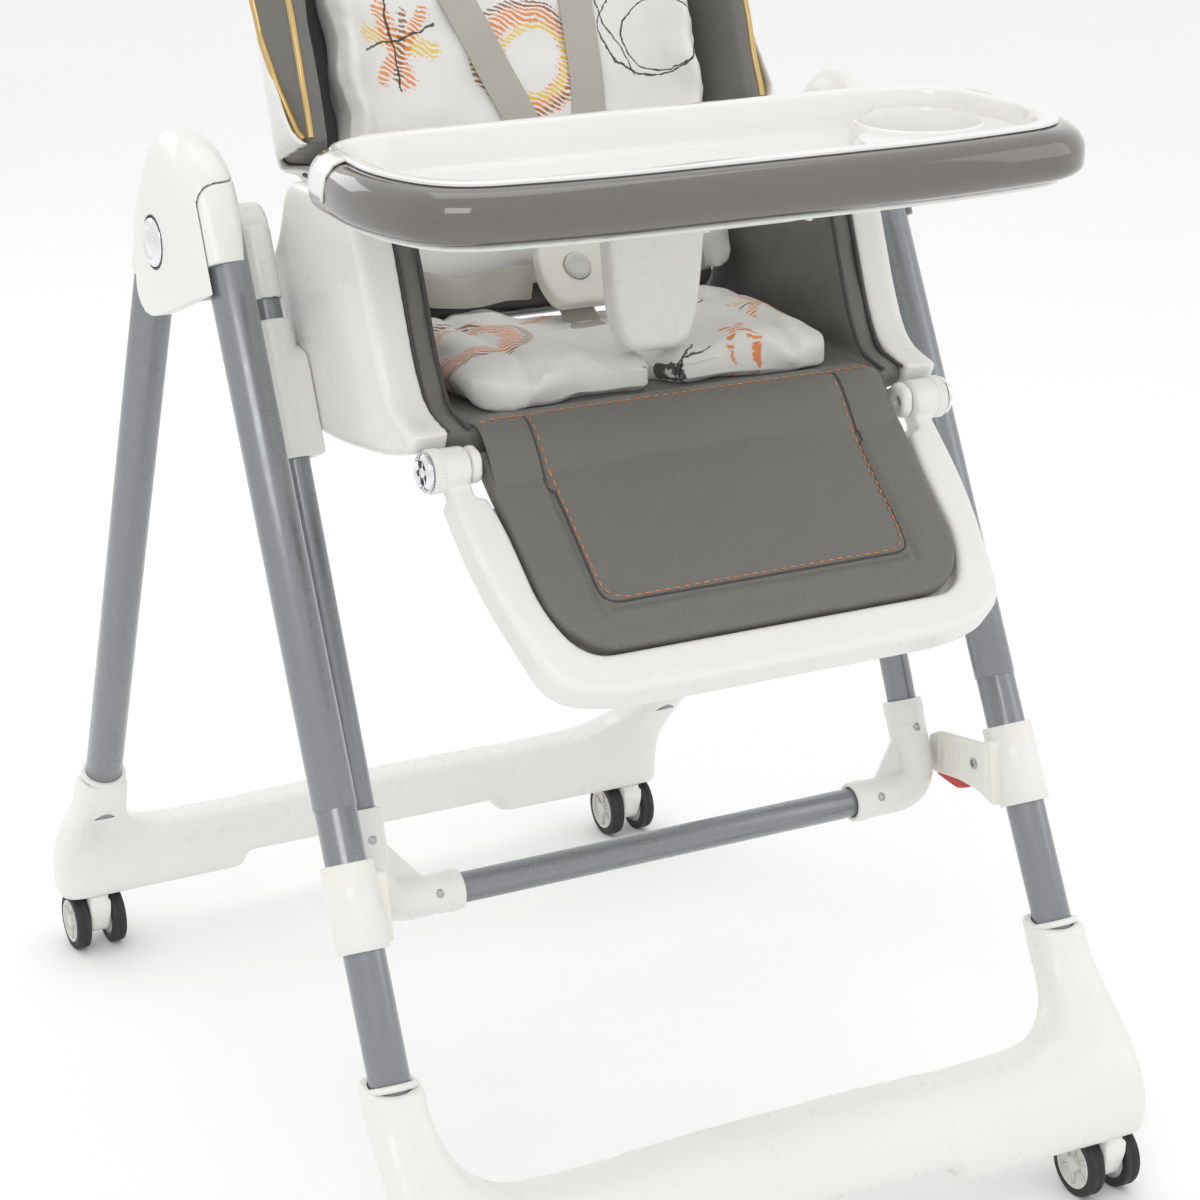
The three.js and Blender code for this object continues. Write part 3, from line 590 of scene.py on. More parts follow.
def webbing_look(name, colour):
    made = Nodes(name, colour, 0.8, Sheen_Weight=0.3)
    x, y, z = split(made, made.place)
    weave = woven(made, 0.0022, 0.00025, x, made.math("ADD", y, z))
    # Darker in the weave's hollows: painted shade between the threads.
    made.set("Base Color", made.mix(made.spread(weave, -1, 1), [c * 0.78 for c in colour],
                                    [c * 1.08 for c in colour]))
    made.bump(made.noise(500.0, 3.0), 0.0003, 0.3)
    return made.material


ORANGE, YELLOW = (0.78, 0.235, 0.035), (0.82, 0.56, 0.06)
BLACK, BROWN = (0.025, 0.022, 0.02), (0.28, 0.13, 0.05)
BACK_MARKS = [
    ("line", YELLOW, 12, (-116, 184, -62, 170)), ("line", ORANGE, 12, (-100, 200, -84, 148)),
    ("line", ORANGE, 11, (-66, 196, -104, 152)), ("line", BROWN, 6, (-84, 196, -92, 150)),
    ("line", BLACK, 1.5, (-118, 172, -56, 186)), ("line", BLACK, 1.4, (-96, 206, -90, 142)),
    ("ring", ORANGE, 15, (14, 156, 34)), ("ring", BROWN, 5, (10, 158, 41)),
              ("ring", YELLOW, 5, (18, 154, 26)), ("ring", BLACK, 1.3, (112, 172, 36)),
              ("ring", BLACK, 1.2, (118, 166, 27)), ("line", BLACK, 1.2, (70, 206, 96, 138)),
              ("ring", BLACK, 2.0, (-60, 292, 40)), ("ring", ORANGE, 8, (-66, 296, 27)),
              ("line", BLACK, 2.2, (40, 250, 86, 300)), ("line", BLACK, 2.2, (44, 298, 84, 250)),
              ("line", ORANGE, 7, (36, 276, 92, 274)), ("ring", YELLOW, 8, (66, 372, 25)),
              ("ring", BLACK, 1.8, (62, 370, 34)), ("line", ORANGE, 7, (-96, 372, -46, 392)),
              ("line", BLACK, 2.2, (-92, 396, -50, 364)), ("line", YELLOW, 6, (-70, 354, -72, 404)),
              ("ring", ORANGE, 7, (-96, 86, 24)), ("line", BLACK, 2.2, (70, 70, 112, 104)),
              ("line", ORANGE, 6, (108, 66, 74, 104)), ]
SEAT_MARKS = [
    ("ring", ORANGE, 14, (-112, -104, 30)), ("ring", BROWN, 6, (-110, -102, 40)),
              ("line", BLACK, 1.8, (-2, -196, 34, -160)), ("line", BLACK, 1.8, (4, -158, 30, -196)),
              ("line", BLACK, 1.3, (-14, -178, 44, -170)), ("line", ORANGE, 8, (100, -128, 140, -78)),
              ("line", BLACK, 3, (92, -110, 142, -104)), ("line", ORANGE, 7, (112, -72, 128, -138)),
              ("line", YELLOW, 6, (92, -84, 136, -128)), ("line", ORANGE, 5, (56, -176, 72, -160)),
              ("line", ORANGE, 5, (74, -178, 58, -158)), ("ring", YELLOW, 6, (60, -70, 18)),
              ("ring", BLACK, 1.8, (62, -68, 26)), ("line", ORANGE, 6, (-50, -60, -16, -36)), ]

WHITE = moulded("white_plastic", (0.78, 0.78, 0.75), 0.30, Coat_Weight=0.25, Coat_Roughness=0.12)
PALE = moulded("pale_plastic", (0.62, 0.62, 0.585), 0.38)
IVORY = moulded("ivory_plastic", (0.80, 0.79, 0.73), 0.35)
TRAY_GREY = moulded("tray_grey", (0.118, 0.108, 0.096), 0.12, Coat_Weight=1.0, Coat_Roughness=0.03)
TRAY_WHITE = moulded("tray_white", (0.80, 0.80, 0.775), 0.16, Coat_Weight=0.6, Coat_Roughness=0.05)
TUBE = brushed("grey_tube", (0.235, 0.245, 0.262), 0.30, 0.55)
CHROME = brushed("chrome", (0.80, 0.81, 0.83), 0.07, 1.0)
STEEL = brushed("screw_steel", (0.42, 0.42, 0.43), 0.25, 1.0)
RED = moulded("red_plastic", (0.52, 0.028, 0.03), 0.30)
# Near-black: dark screw heads, and painted shade in gaps, holes and recesses.
DARK = moulded("dark_screw_and_recess_shade", (0.035, 0.035, 0.037), 0.45)
RUBBER = moulded("tyre_rubber", (0.022, 0.022, 0.023), 0.62)
LEATHER = leather("leatherette", (0.158, 0.154, 0.140))
# Near-black leatherette: the bolster piping, and dark beads laid in creases as painted shade.
DARK_LEATHER = leather("leatherette_binding_and_crease_shade", (0.055, 0.053, 0.05), 1.4)
GOLD = brushed("gold_piping", (0.58, 0.40, 0.15), 0.36, 0.65)
THREAD = moulded("copper_thread", (0.62, 0.225, 0.075), 0.5, 0.12)
WEBBING = webbing_look("webbing", (0.47, 0.455, 0.40))
BACK_COTTON = inked("inked_cotton_back", BACK_MARKS, True)
SEAT_COTTON = inked("inked_cotton_seat", SEAT_MARKS, False)


def done(piece, look, body, replaces=()):
    """Gives a finished piece its look, its body and the CAD nodes it stands for."""
    piece.data.materials.clear()
    piece.data.materials.append(look)
    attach(piece, body)
    if replaces:
        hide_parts(*([replaces] if isinstance(replaces, str) else replaces))
    return piece


def done_pair(piece, name, look, body, replaces=None):
    """The right-hand piece and its mirror image; {s} in a name is the side."""
    other = mirrored(piece, name.format(s="left"))
    piece.name = name.format(s="right")
    for side, half in (("right", piece), ("left", other)):
        done(half, look, body.format(s=side), [n.format(s=side) for n in replaces or ()])


# ---- legs ----

FRONT_LEG = (Vector((268, -296, 179)), Vector((263, -42, 686)))
REAR_LEG = (Vector((267, 298, 187)), Vector((263, 118, 626)))


def on_leg(leg, share):
    return leg[0] + (leg[1] - leg[0]) * share


def build_legs():
    upper = tube("leg", on_leg(FRONT_LEG, 0.335), on_leg(FRONT_LEG, 1.06), 15, 1.2)
    done_pair(smooth(upper), "front_leg_tube_{s}", TUBE, "front_frame", ["front_leg_upper_{s}"])
    lower = tube("leg", on_leg(FRONT_LEG, -0.08), on_leg(FRONT_LEG, 0.337), 14.3, 0.6)
    done_pair(smooth(lower), "front_leg_inner_tube_{s}", TUBE, "front_frame", ["front_leg_lower_{s}"])
    rear = tube("leg", on_leg(REAR_LEG, -0.08), on_leg(REAR_LEG, 1.14), 15)
    done_pair(smooth(rear), "rear_leg_tube_{s}", TUBE, "rear_frame", ["rear_leg_{s}"])


# ---- moulded base bars ----

# The bar's edges from the sleeve mouth to the middle: outer x, outer z, inner x, inner z, half depth.
BASE_STATIONS = [
    (288, 183, 248, 183, 20), (288.6, 163, 247.5, 165, 20.5), (289.4, 132, 244, 147, 22),
                 (290.2, 98, 235, 132, 24), (291, 64, 221, 122, 25.5), (284, 46, 206, 117.5, 26),
                 (246, 45, 190, 116, 26), (205, 45, 168, 115.5, 25), (134, 46, 132, 115.5, 24),
                 (118, 61, 112, 116, 24), (60, 61, 60, 117, 24), ]


def between_rows(rows, steps):
    """Rows of numbers with smooth in-between rows."""
    rows = np.array(rows, float)
    made = []
    for i in range(len(rows) - 1):
        p = [rows[min(max(i + k, 0), len(rows) - 1)] for k in (-1, 0, 1, 2)]
        low, high = np.minimum(p[1], p[2]), np.maximum(p[1], p[2])
        for s in range(steps):
            t = s / steps
            row = 0.5 * (2 * p[1] + (p[2] - p[0]) * t + (2 * p[0] - 5 * p[1] + 4 * p[2] - p[3]) * t * t
                         + (3 * p[1] - p[0] - 3 * p[2] + p[3]) * t ** 3)
            made.append(np.clip(row, low, high))
    return [*made, rows[-1]]


def build_base(name, node, leg, bar_y, stem_y, body):
    slope = (leg[1].y - leg[0].y) / (leg[1].z - leg[0].z)

    def depth_at(z):
        t = min(max((z - 70) / 98, 0), 1)
        t = t * t * (3 - 2 * t)
        return bar_y + (leg[0].y + slope * (z - leg[0].z) - bar_y) * t

    def ring(row, sign):
        outer_x, outer_z, inner_x, inner_z, deep = row
        made = []
        for across, out in super_ring(56, 0.62):
            x = (outer_x + inner_x) / 2 + across * (outer_x - inner_x) / 2
            z = (outer_z + inner_z) / 2 + across * (outer_z - inner_z) / 2
            made.append((sign * x, depth_at(z) + out * deep, z))
        return made

    rows = between_rows(BASE_STATIONS, 6)
    bar = loft(name, [ring(r, -1) for r in rows] + [ring(r, 1) for r in reversed(rows)])
    remesh(bar, 2.0)
    relax(bar, 14)
    relax(bar, 3, shrink=True)
    cut(bar, box((-400, bar_y - 100, 0), (400, bar_y + 100, 52)))
    for side in (-1, 1):
        flip = Vector((side, 1, 1))
        cut(bar, rod(on_leg(leg, -0.085) * flip, on_leg(leg, 0.1) * flip, 15.3),
            rod((side * 260.5, stem_y, 0), (side * 260.5, stem_y, 78), 5.3))
    done(smooth(bar, 40), WHITE, body, node)
    for side, sign in SIDES.items():
        flip = Vector((sign, 1, 1))
        mouth = turned(f"{name}_mouth_{side}", [[0, 15.15], [0, 17.6], [1.4, 18.6], [3.4, 18.6],
            [4.6, 17.4], [4.8, 15.15]],
                       on_leg(leg, -0.001) * flip, on_leg(leg, 0.2) * flip, hollow=True)
        done(smooth(mouth, 60), WHITE, body)


# ---- hubs ----

HUB_RINGS = [
    (615, -90, 104, 23.5), (650, -76, 104, 23.5), (690, -58, 102, 23.5), (718, -45, 83, 23.5),
             (736, -35, 70, 22.5), (750, -23, 61, 19.5), (760, -9, 50, 15), (766, 5, 41, 9.5),
             (769, 18, 31, 4), ]


def hub_form(name):
    rings = [[(HUB_MIDDLE + u * half, (front + rear) / 2 + v * (rear - front) / 2, z) for u,
              v in super_ring(64, 0.68)]
             for z, front, rear, half in between_rows(HUB_RINGS, 4)]
    return loft(name, rings)


def disc(name, profile, hollow=False):
    return turned(name, [[x - profile[0][0], r] for x, r in profile], (profile[0][0], FOLD_Y, FOLD_Z),
                  (400, FOLD_Y, FOLD_Z), 96, hollow=hollow)


def hub_arch(spare):
    shape = outline([[238, 600], [279.6 + spare, 600], [279.6 + spare, 739 + spare, 17],
                     [238, 739 + spare, 17]])
    return prism("tool", shape, -130, -6 + spare, front_view)


def build_hubs():
    dome = hub_form("dome")
    remesh(dome, 1.6)
    relax(dome, 16)
    floor = outline([[-140, 560], [180, 560], [180, 700], [106, 666, 20], [84, 641, 30], [52, 632, 26],
                     [20, 640, 20], [-140, 700]])
    cut(dome, prism("tool", floor, 223, 310, side_view))
    axis = (REAR_LEG[1] - REAR_LEG[0]).normalized()
    start = on_leg(REAR_LEG, 1.06)
    join(dome, turned("tool", [[0, 16.6], [1, 17.5], [36, 17.5], [44, 16.6], [52, 13.6], [58, 9], [61, 3]],
                      start, start + axis))
    under = outline([[-130, 560], [102, 560], [96, 628, 10], [72, 690], [-130, 690]])
    cut(dome, hub_arch(0.8),
        box((239, -14, 655), (280, 30, 716.6)), disc("tool", [[239, 37], [280, 37]]),
        prism("tool", under, 233, 279.9, side_view), disc("tool", [[278.6, 18.5], [299, 18.5]]))
    remesh(dome, 1.15)
    relax(dome, 5)
    cut(dome, rod(on_leg(REAR_LEG, 0.9), on_leg(REAR_LEG, 1.143), LEG_BORE))
    done_pair(smooth(dome, 60), "hub_dome_{s}", WHITE, "rear_frame", ["hub_housing_{s}"])

    cup = hub_form("cup")
    remesh(cup, 1.6)
    relax(cup, 16)
    common(cup, hub_arch(0))
    socket = outline([[-140, 560], [40, 560], [0, 663], [-80, 702]])
    cut(cup, prism("tool", socket, 223, 310, side_view))
    join(cup, box((243, -14, 655), (279.5, 30, 716)), disc("tool", [[243, 36], [279.5, 36]]))
    remesh(cup, 1.15)
    relax(cup, 5)
    cut(cup, rod(on_leg(FRONT_LEG, 0.9), on_leg(FRONT_LEG, 1.065), LEG_BORE))
    done_pair(smooth(cup, 60), "hub_cup_{s}", WHITE, "front_frame", ["hub_front_cup_{s}"])

    button = disc("button", [[282.1, 17.6], [289.6, 17.6], [291.2, 16.9], [292.6, 15.2], [293.3, 12],
                             [293.0, 10.5], [292.7, 9.5], [293.0, 8.4], [293.5, 6], [293.7, 0]])
    done_pair(smooth(button, 50), "fold_button_cap_{s}", CHROME, "fold_button_{s}",
              ["fold_button_{s}"])
    # A dark ring round the button, in the gap at the hub's face: painted shade of that gap.
    gap_shade = disc("gap_shade", [[285, 18.6], [289.7, 19.4], [290.3, 19.2], [290.4, 18.1], [286, 17.9]], hollow=True)
    done_pair(smooth(gap_shade, 50), "fold_button_seal_{s}", DARK, "rear_frame")
    # The hub screw is near-black: its dark is partly the screw's own and partly painted shade of its recess.
    done_pair(screw("screw", (279.0, -40, 700), (1, 0, 0), 3.2), "hub_screw_{s}", DARK, "front_frame")


# ---- height guide frame ----


def build_guide_frame():
    for_left = tube("guide", (224, 0, -468), (224, 0, -12), 11, place=GUIDE)
    done_pair(smooth(for_left), "guide_tube_finish_{s}", TUBE, "front_frame", ["guide_tube_{s}"])
    cross = tube("cross_tube_finish", (-198, 0, -474), (198, 0, -474), 11, place=GUIDE)
    done(smooth(cross), TUBE, "front_frame", "cross_tube")

    knee = [Vector((224, 0, -406 - 44 * t / 6)) for t in range(6)]
    knee += [Vector((224, 0, -450)).lerp(Vector((224, 0, -474)), t).lerp(
        Vector((224, 0, -474)).lerp(Vector((200, 0, -474)), t), t) for t in (k / 14 for k in range(15))]
    knee += [Vector((200 - 38 * t / 5, 0, -474)) for t in range(1, 6)]

    def width(share):
        edge = min(share, 1 - share) * 110
        return circle(14.5 + 0.9 * (edge < 5) - 0.8 * (edge < 0.4), 48)

    elbow = swept("elbow", knee, width, (0, 1, 0), place=GUIDE)
    web = prism("tool", outline([[176, -474], [224, -474], [224, -422, 3], [214, -428, 30]]), -2.2, 2.2,
                front_view, GUIDE)
    join(elbow, web)
    cut(elbow, rod((GUIDE_X, 0, -469), (GUIDE_X, 0, -401), GUIDE_BORE, GUIDE),
        rod((154, 0, -474), (200, 0, -474), GUIDE_BORE, GUIDE))
    remesh(elbow, 1.1)
    relax(elbow, 4)
    done_pair(smooth(elbow, None), "elbow_sleeve_{s}", WHITE, "front_frame", ["elbow_{s}"])
    for number, (spot, way) in enumerate([((224, -13.6, -428), (0, -1, 0)),
                                          ((182, -13.6, -474), (0, -1, 0))]):
        done_pair(screw("screw", spot, way, 3.4, GUIDE), f"elbow_screw_{number}_{{s}}", STEEL, "front_frame")
    for side in SIDES:
        bracket = from_cad(f"guide_bracket_moulding_{side}", f"guide_bracket_{side}", 1.3, 8, 2)
        done(bracket, WHITE, "front_frame", f"guide_bracket_{side}")


def build_locks():
    low, high = on_leg(FRONT_LEG, 0.165), on_leg(FRONT_LEG, 0.27)
    length = (high - low).length
    ring = turned("collar", [[0, 14.7], [0, 17.6], [1, 18.5], [length - 16, 18.5], [length - 13, 17.2],
                             [length - 5, 17.0], [length - 3.6, 18.3], [length - 1, 18.3], [length, 17.4],
                             [length, 14.7]], low, high, hollow=True)
    done_pair(smooth(ring, 50), "collar_ring_{s}", WHITE, "front_frame")
    for side in SIDES:
        arm = cad_copy(f"collar_arm_{side}", f"collar_{side}")
        flip = Vector((SIDES[side], 1, 1))
        cut(arm, rod(on_leg(FRONT_LEG, 0.1) * flip, on_leg(FRONT_LEG, 0.33) * flip, 17.4))
        remesh(arm, 0.9)
        relax(arm, 5)
        done(smooth(arm, None), IVORY, "front_frame", f"collar_{side}")
        lever = from_cad(f"lock_lever_moulding_{side}", f"lock_lever_{side}", 0.7, 6)
        done(lever, RED, f"lock_lever_{side}", f"lock_lever_{side}")
    ribs = [prism("rib", outline([[y, 270 + 0.12 * (y + 206), 1], [y + 2, 270, 1], [y + 1, 295, 1],
                                  [y - 1, 295, 1]]), 240.2, 241.6,
                  side_view) for y in (-205, -196, -187, -178)]
    done_pair(smooth(merged("ribs", ribs), 30), "collar_arm_ribs_{s}", IVORY, "front_frame")
    done_pair(screw("screw", (241.2, -224, 288), (-1, 0, 0), 4.6), "collar_screw_{s}", STEEL, "front_frame")
    # A near-black pin in the collar's hole: its dark is partly the pin's own and partly painted shade of the
    # hole.
    back_hole = on_leg(FRONT_LEG, 0.21)
    done_pair(screw("screw", back_hole + Vector((4, -18.0, -8)), (0.2, -0.9, 0.3), 3.4), "collar_pin_{s}",
              DARK, "front_frame")


# ---- casters ----


def spoke_view(start, way, angle):
    """Lays a flat shape on the side of a wheel, turned by an angle about its axle."""
    def view(u, v, depth):
        return Vector(start) + Vector((way * depth, u * math.cos(angle) - v * math.sin(angle),
                                       u * math.sin(angle) + v * math.cos(angle)))
    return view


def build_casters():
    for end, stem_y in (("front", -386), ("rear", 358)):
        for side, sign in SIDES.items():
            name = f"{end}_{side}"
            x, axle_y = sign * 260.5, stem_y + 14
            body = from_cad(f"caster_fork_{name}", f"caster_body_{name}", 0.9, 6)
            done(body, WHITE, f"caster_{name}", f"caster_body_{name}")
            tyres, discs = [], []
            for way in (-1, 1):
                start, out = (x + way * 9.8, axle_y, 25), (x + way * 30, axle_y, 25)
                tyres.append(turned("tyre", [[0, 18.4], [0, 23.6], [0.6, 24.6], [1.8, 25], [4.6, 25],
                                             [4.9, 24.6], [5.4, 24.5], [5.9, 24.6], [6.2, 25], [10.2, 25],
                                             [11.4, 24.5], [12, 23.4], [12, 18.4]],
                                     start, out, 72, hollow=True))
                plate = turned("disc", [[0.6, 0], [0.6, 18.6], [12.2, 18.6], [12.6, 18], [12.0, 16.6],
                                        [10.4, 15.8], [9.8, 13], [9.8, 7.4], [10.2, 6.6], [12.6, 6.0],
                                        [13.0, 5.2], [13.0, 0]], start, out, 72)
                spokes = [prism("spoke", [(-1.1, 5), (1.1, 5), (1.4, 17), (-1.4, 17)], 9, 11.4,
                                spoke_view(start, way, 2 * math.pi * k / 6)) for k in range(6)]
                discs += [smooth(plate, 45), *[smooth(s, 30) for s in spokes]]
            smooth_tyres = merged(f"caster_tyres_{name}", [smooth(t, 45) for t in tyres])
            done(smooth_tyres, RUBBER, f"caster_{name}_wheels", f"caster_wheels_{name}")
            done(merged(f"caster_discs_{name}", discs), PALE, f"caster_{name}_wheels")


# ---- seat ----

NOSE = [(-114, 726), (-122, 714), (-132, 695), (-143, 668), (-154, 640), (-164, 620), (-176, 605),
        (-190, 600), (-206, 597.2)]


def build_seat():
    shell = from_cad("seat_shell_moulding", "seat_shell", 2.0, 14, 4)
    done(shell, WHITE, "seat", "seat_shell")
    cover = from_cad("seat_cover_padding", "seat_cover", 2.4, 10, 5)
    puff(cover, 1.6, 22.0, (0, -60, 640))
    done(cover, LEATHER, "seat", "seat_cover")
    for side, sign in SIDES.items():
        for number, x in enumerate((176.4, 161.2)):
            path = [(sign * x, y - 1.2, z + 0.6) for y, z in NOSE]
            rim = [*[(sign * x, y, 727) for y in (28, -10, -60, -100)], *path]
            bead = piping(f"bolster_piping_{side}_{number}", rim, 1.5, (sign, 0, 0.2))
            done(bead, DARK_LEATHER, "seat")
    rows = [(-186, 597.9), (-197, 599.0), (-205, 599.4), (-211.5, 597.4), (-218.5, 591.4), (-226, 583.4),
            (-233.5, 574.4), (-240.5, 566.2)]
    over = [Vector((0, y, z)) for y, z in rows]
    flap = swept("knee_flap", even(spline(over, 10), 2.0), knee_section, (0, -0.5, 0.85))
    flap.data.materials.append(LEATHER)
    flap_surface = surface_under(flap)
    down = [p for p in even(spline(over, 10), 4.0) if p.y < -206]
    for side, sign in SIDES.items():
        # Each side gets copper stitches and, just outside them in the flap's groove, a dark bead that is
        # painted shade of that crease.
        for kind, x, look in (("stitches", 117.2, THREAD), ("crease_shade", 120.4, DARK_LEATHER)):
            lie = [flap_surface.find_nearest(Vector((sign * x, p.y, p.z)) * MM)[0] / MM for p in down]
            name = f"knee_{kind}_{side}"
            bead = (stitches(name, lie, (0, -0.5, 0.85)) if kind == "stitches" else
                    swept(name, lie, circle(0.9, 8), (0, -0.5, 0.85)))
            bead.data.materials.append(look)
            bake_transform(bead)
    flap_line = [Vector((x, -204.5, 604)) for x in np.linspace(-152, 152, 110)]
    nose = [flap_surface.ray_cast(p * MM, Vector((0, 0, -1)))[0] / MM + Vector((0, 0, 0.3))
            for p in flap_line]
    done(stitches("nose_stitches", nose, (0, -0.3, 1)), THREAD, "seat")
    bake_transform(flap)


def knee_section(share):
    """The flap of leatherette from the seat's nose to the footrest, across the chair."""
    half = 156.5 - 1.5 * math.sin(math.pi * share)
    across = np.linspace(-half, half, 60)
    dip = [2.0 * (min(1.0, (half - abs(u)) / 7.0)) ** 0.5 - 0.9 * math.exp(-((abs(u) - 119) / 2.2) ** 2)
           for u in across]
    sink = 1.0 + 2.8 * max(0.0, (share - 0.45) / 0.55) ** 1.5
    return [(u, -1.4 - sink) for u in across] + [(u, d - sink) for u, d in reversed(list(zip(across, dip)))]


def build_sliders():
    sleeve = turned("slider", [[0, 14.6], [0.8, 16.1], [2.4, 16.5], [95.6, 16.5], [97.4, 15.9], [98, 14.4]],
                    (GUIDE_X, 0, -158), (GUIDE_X, 0, -60), 64, GUIDE)
    shoe = prism("tool", outline([[-16.5, -158, 4], [16.5, -158, 4], [16.5, -70, 10], [-16.5, -86, 10]]),
                 205.3, 224, side_view, GUIDE)
    join(sleeve, shoe)
    cut(sleeve, rod((GUIDE_X, 0, -163), (GUIDE_X, 0, -55), GUIDE_BORE, GUIDE))
    remesh(sleeve, 1.2)
    relax(sleeve, 5)
    done_pair(smooth(sleeve, None), "slider_sleeve_{s}", WHITE, "seat", ["slider_{s}"])
    for side in SIDES:
        button = from_cad(f"height_lever_{side}", f"height_button_{side}", 0.8, 6)
        done(button, PALE, f"height_button_{side}", f"height_button_{side}")


# ---- soft pieces ----


def puff(piece, height, size, middle):
    """Soft unevenness of upholstery: low swells along the surface, from fixed noise."""
    mesh = piece.data
    normals = np.empty(len(mesh.vertices) * 3)
    mesh.vertices.foreach_get("normal", normals)
    co = points_of(mesh)
    lift = np.array([noise.noise(Vector(p) / (size * MM) + Vector(middle) * 0.01) for p in co])
    set_points(mesh, co + normals.reshape(-1, 3) * (lift * height * MM)[:, None])


def simulate(piece, cap):
    """Inflates a closed pad like stuffed cloth and keeps every point within cap of where it was."""
    start = points_of(piece.data).copy()
    cloth = piece.modifiers.new("cloth", "CLOTH").settings
    cloth.use_pressure = True
    cloth.uniform_pressure_force = 4.0
    cloth.effector_weights.gravity = 0.0
    cloth.quality = 5
    for number in range(1, 21):
        scene.frame_set(number)
    bake(piece)
    co = points_of(piece.data)
    move = co - start
    far = np.linalg.norm(move, axis=1)[:, None]
    set_points(piece.data, start + move * np.minimum(1, cap * MM / np.maximum(far, 1e-9)))
    scene.frame_set(1)


def subdivide(piece, levels=1):
    change = piece.modifiers.new("fine", "SUBSURF")
    change.levels = change.render_levels = levels
    return bake(piece)


def pad_from(name, node, voxel, inset, cap, trim=None):
    """A stuffed pad from a CAD node: trimmed, shrunk a little, inflated, and made fine."""
    piece = cad_copy(name, node)
    if trim:
        common(piece, trim)
    remesh(piece, voxel)
    relax(piece, 4)
    mesh = piece.data
    normals = np.empty(len(mesh.vertices) * 3)
    mesh.vertices.foreach_get("normal", normals)
    set_points(mesh, points_of(mesh) - normals.reshape(-1, 3) * inset * MM)
    simulate(piece, cap)
    subdivide(piece)
    relax(piece, 2)
    return smooth(piece, None)


def local(place, co):
    """Points in metres in the row frame, as millimetres in the frame called place."""
    inverse = np.array(place.inverted())
    return (co / MM) @ inverse[:3, :3].T + inverse[:3, 3]


def to_row(place, co):
    matrix = np.array(place)
    return (co @ matrix[:3, :3].T + matrix[:3, 3]) * MM


def groove(distance, width):
    return np.exp(-(distance / width) ** 2)


def build_cushions():
    plan = symmetric([[60, -198, 40], [151, -186, 70], [151, -5, 10]], 12)
    seat = pad_from("seat_cushion_padding", "seat_cushion", 5, 3.0, 8,
                    prism("plan", plan, 590, 640, top_view))
    co = points_of(seat.data) / MM
    x, y, z = co.T
    top = np.clip((z - 603) / 14, 0, 1)
    notch = groove(x - 2, 9) * np.clip((-y - 118) / 40, 0, 1)
    side_seam = groove(np.abs(x) - 100, 5)
    cross_seam = groove(y + 70, 5)
    front_pleat = np.sin(x / 5.5 + 1.5 * np.sin(y / 31)) * groove(y + 186, 18)
    side_pleat = np.sin(y / 5 + x / 17) * groove(np.abs(x) - 147, 12)
    pleat = front_pleat + side_pleat
    z = z - top * (9 * notch + 4.5 * side_seam + 3.5 * cross_seam - 1.1 * pleat)
    y = y + np.clip((-y - 150) / 30, 0, 1) * notch * 26
    y = np.clip(y, -195, -8)
    x = np.clip(x, -157.5, 157.5)
    z = np.maximum(z, 597.4)
    set_points(seat.data, np.stack([x, y, z], 1) * MM)
    puff(seat, 2.2, 26, (3, 1, 2))
    relax(seat, 2)
    done(seat, SEAT_COTTON, "seat", "seat_cushion")

    rest = pad_from("backrest_cushion_padding", "backrest_cushion", 6, 3.5, 9)
    co = local(BACK, points_of(rest.data))
    x, y, z = co.T
    face = np.clip((-y - 34) / 12, 0, 1) * np.clip((118 - np.abs(x)) / 14, 0, 1)
    seams = groove(z - 60, 5) + groove(z - 246, 5) * 0.9 + groove(np.abs(x) - 78,
        5) * np.clip((z - 246) / 12, 0, 1)
    slots = groove(np.hypot(np.abs(x) - 58, (z - 300) * 0.6), 12)
    y = y + face * (5.5 * seams + 4 * slots)
    pleat = np.sin(z / 6.5 + 2 * np.sin(x / 23)) * groove(np.abs(x) - 128, 14)
    y = np.maximum(y - 1.6 * pleat, -97)
    y = np.minimum(y, -16.5 - 13.6)
    x = np.clip(x, -148.8, 148.8) + 1.4 * np.sin(z / 9) * (np.abs(x) > 120)
    x = np.clip(x, -149.2, 149.2)
    set_points(rest.data, to_row(BACK, np.stack([x, y, z], 1)))
    puff(rest, 3.0, 34, (1, 5, 2))
    relax(rest, 2)
    done(rest, BACK_COTTON, "backrest", "backrest_cushion")
    return rest


# ---- harness ----


def surface_under(piece):
    dg = bpy.context.evaluated_depsgraph_get()
    return BVHTree.FromObject(piece, dg)


def strap_section(width, thick, bow=0.0):
    """A strap's section: flat, with rounded selvedges."""
    rows = [(-width / 2 + width * k / 10, bow * (1 - ((k - 5) / 5) ** 2)) for k in range(11)]
    top = [(u, v + thick / 2 * (0.45 if k in (0, 10) else 1)) for k, (u, v) in enumerate(rows)]
    low = [(u, v - thick / 2 * (0.45 if k in (0, 10) else 1)) for k,
           (u, v) in reversed(list(enumerate(rows)))]
    return top + low


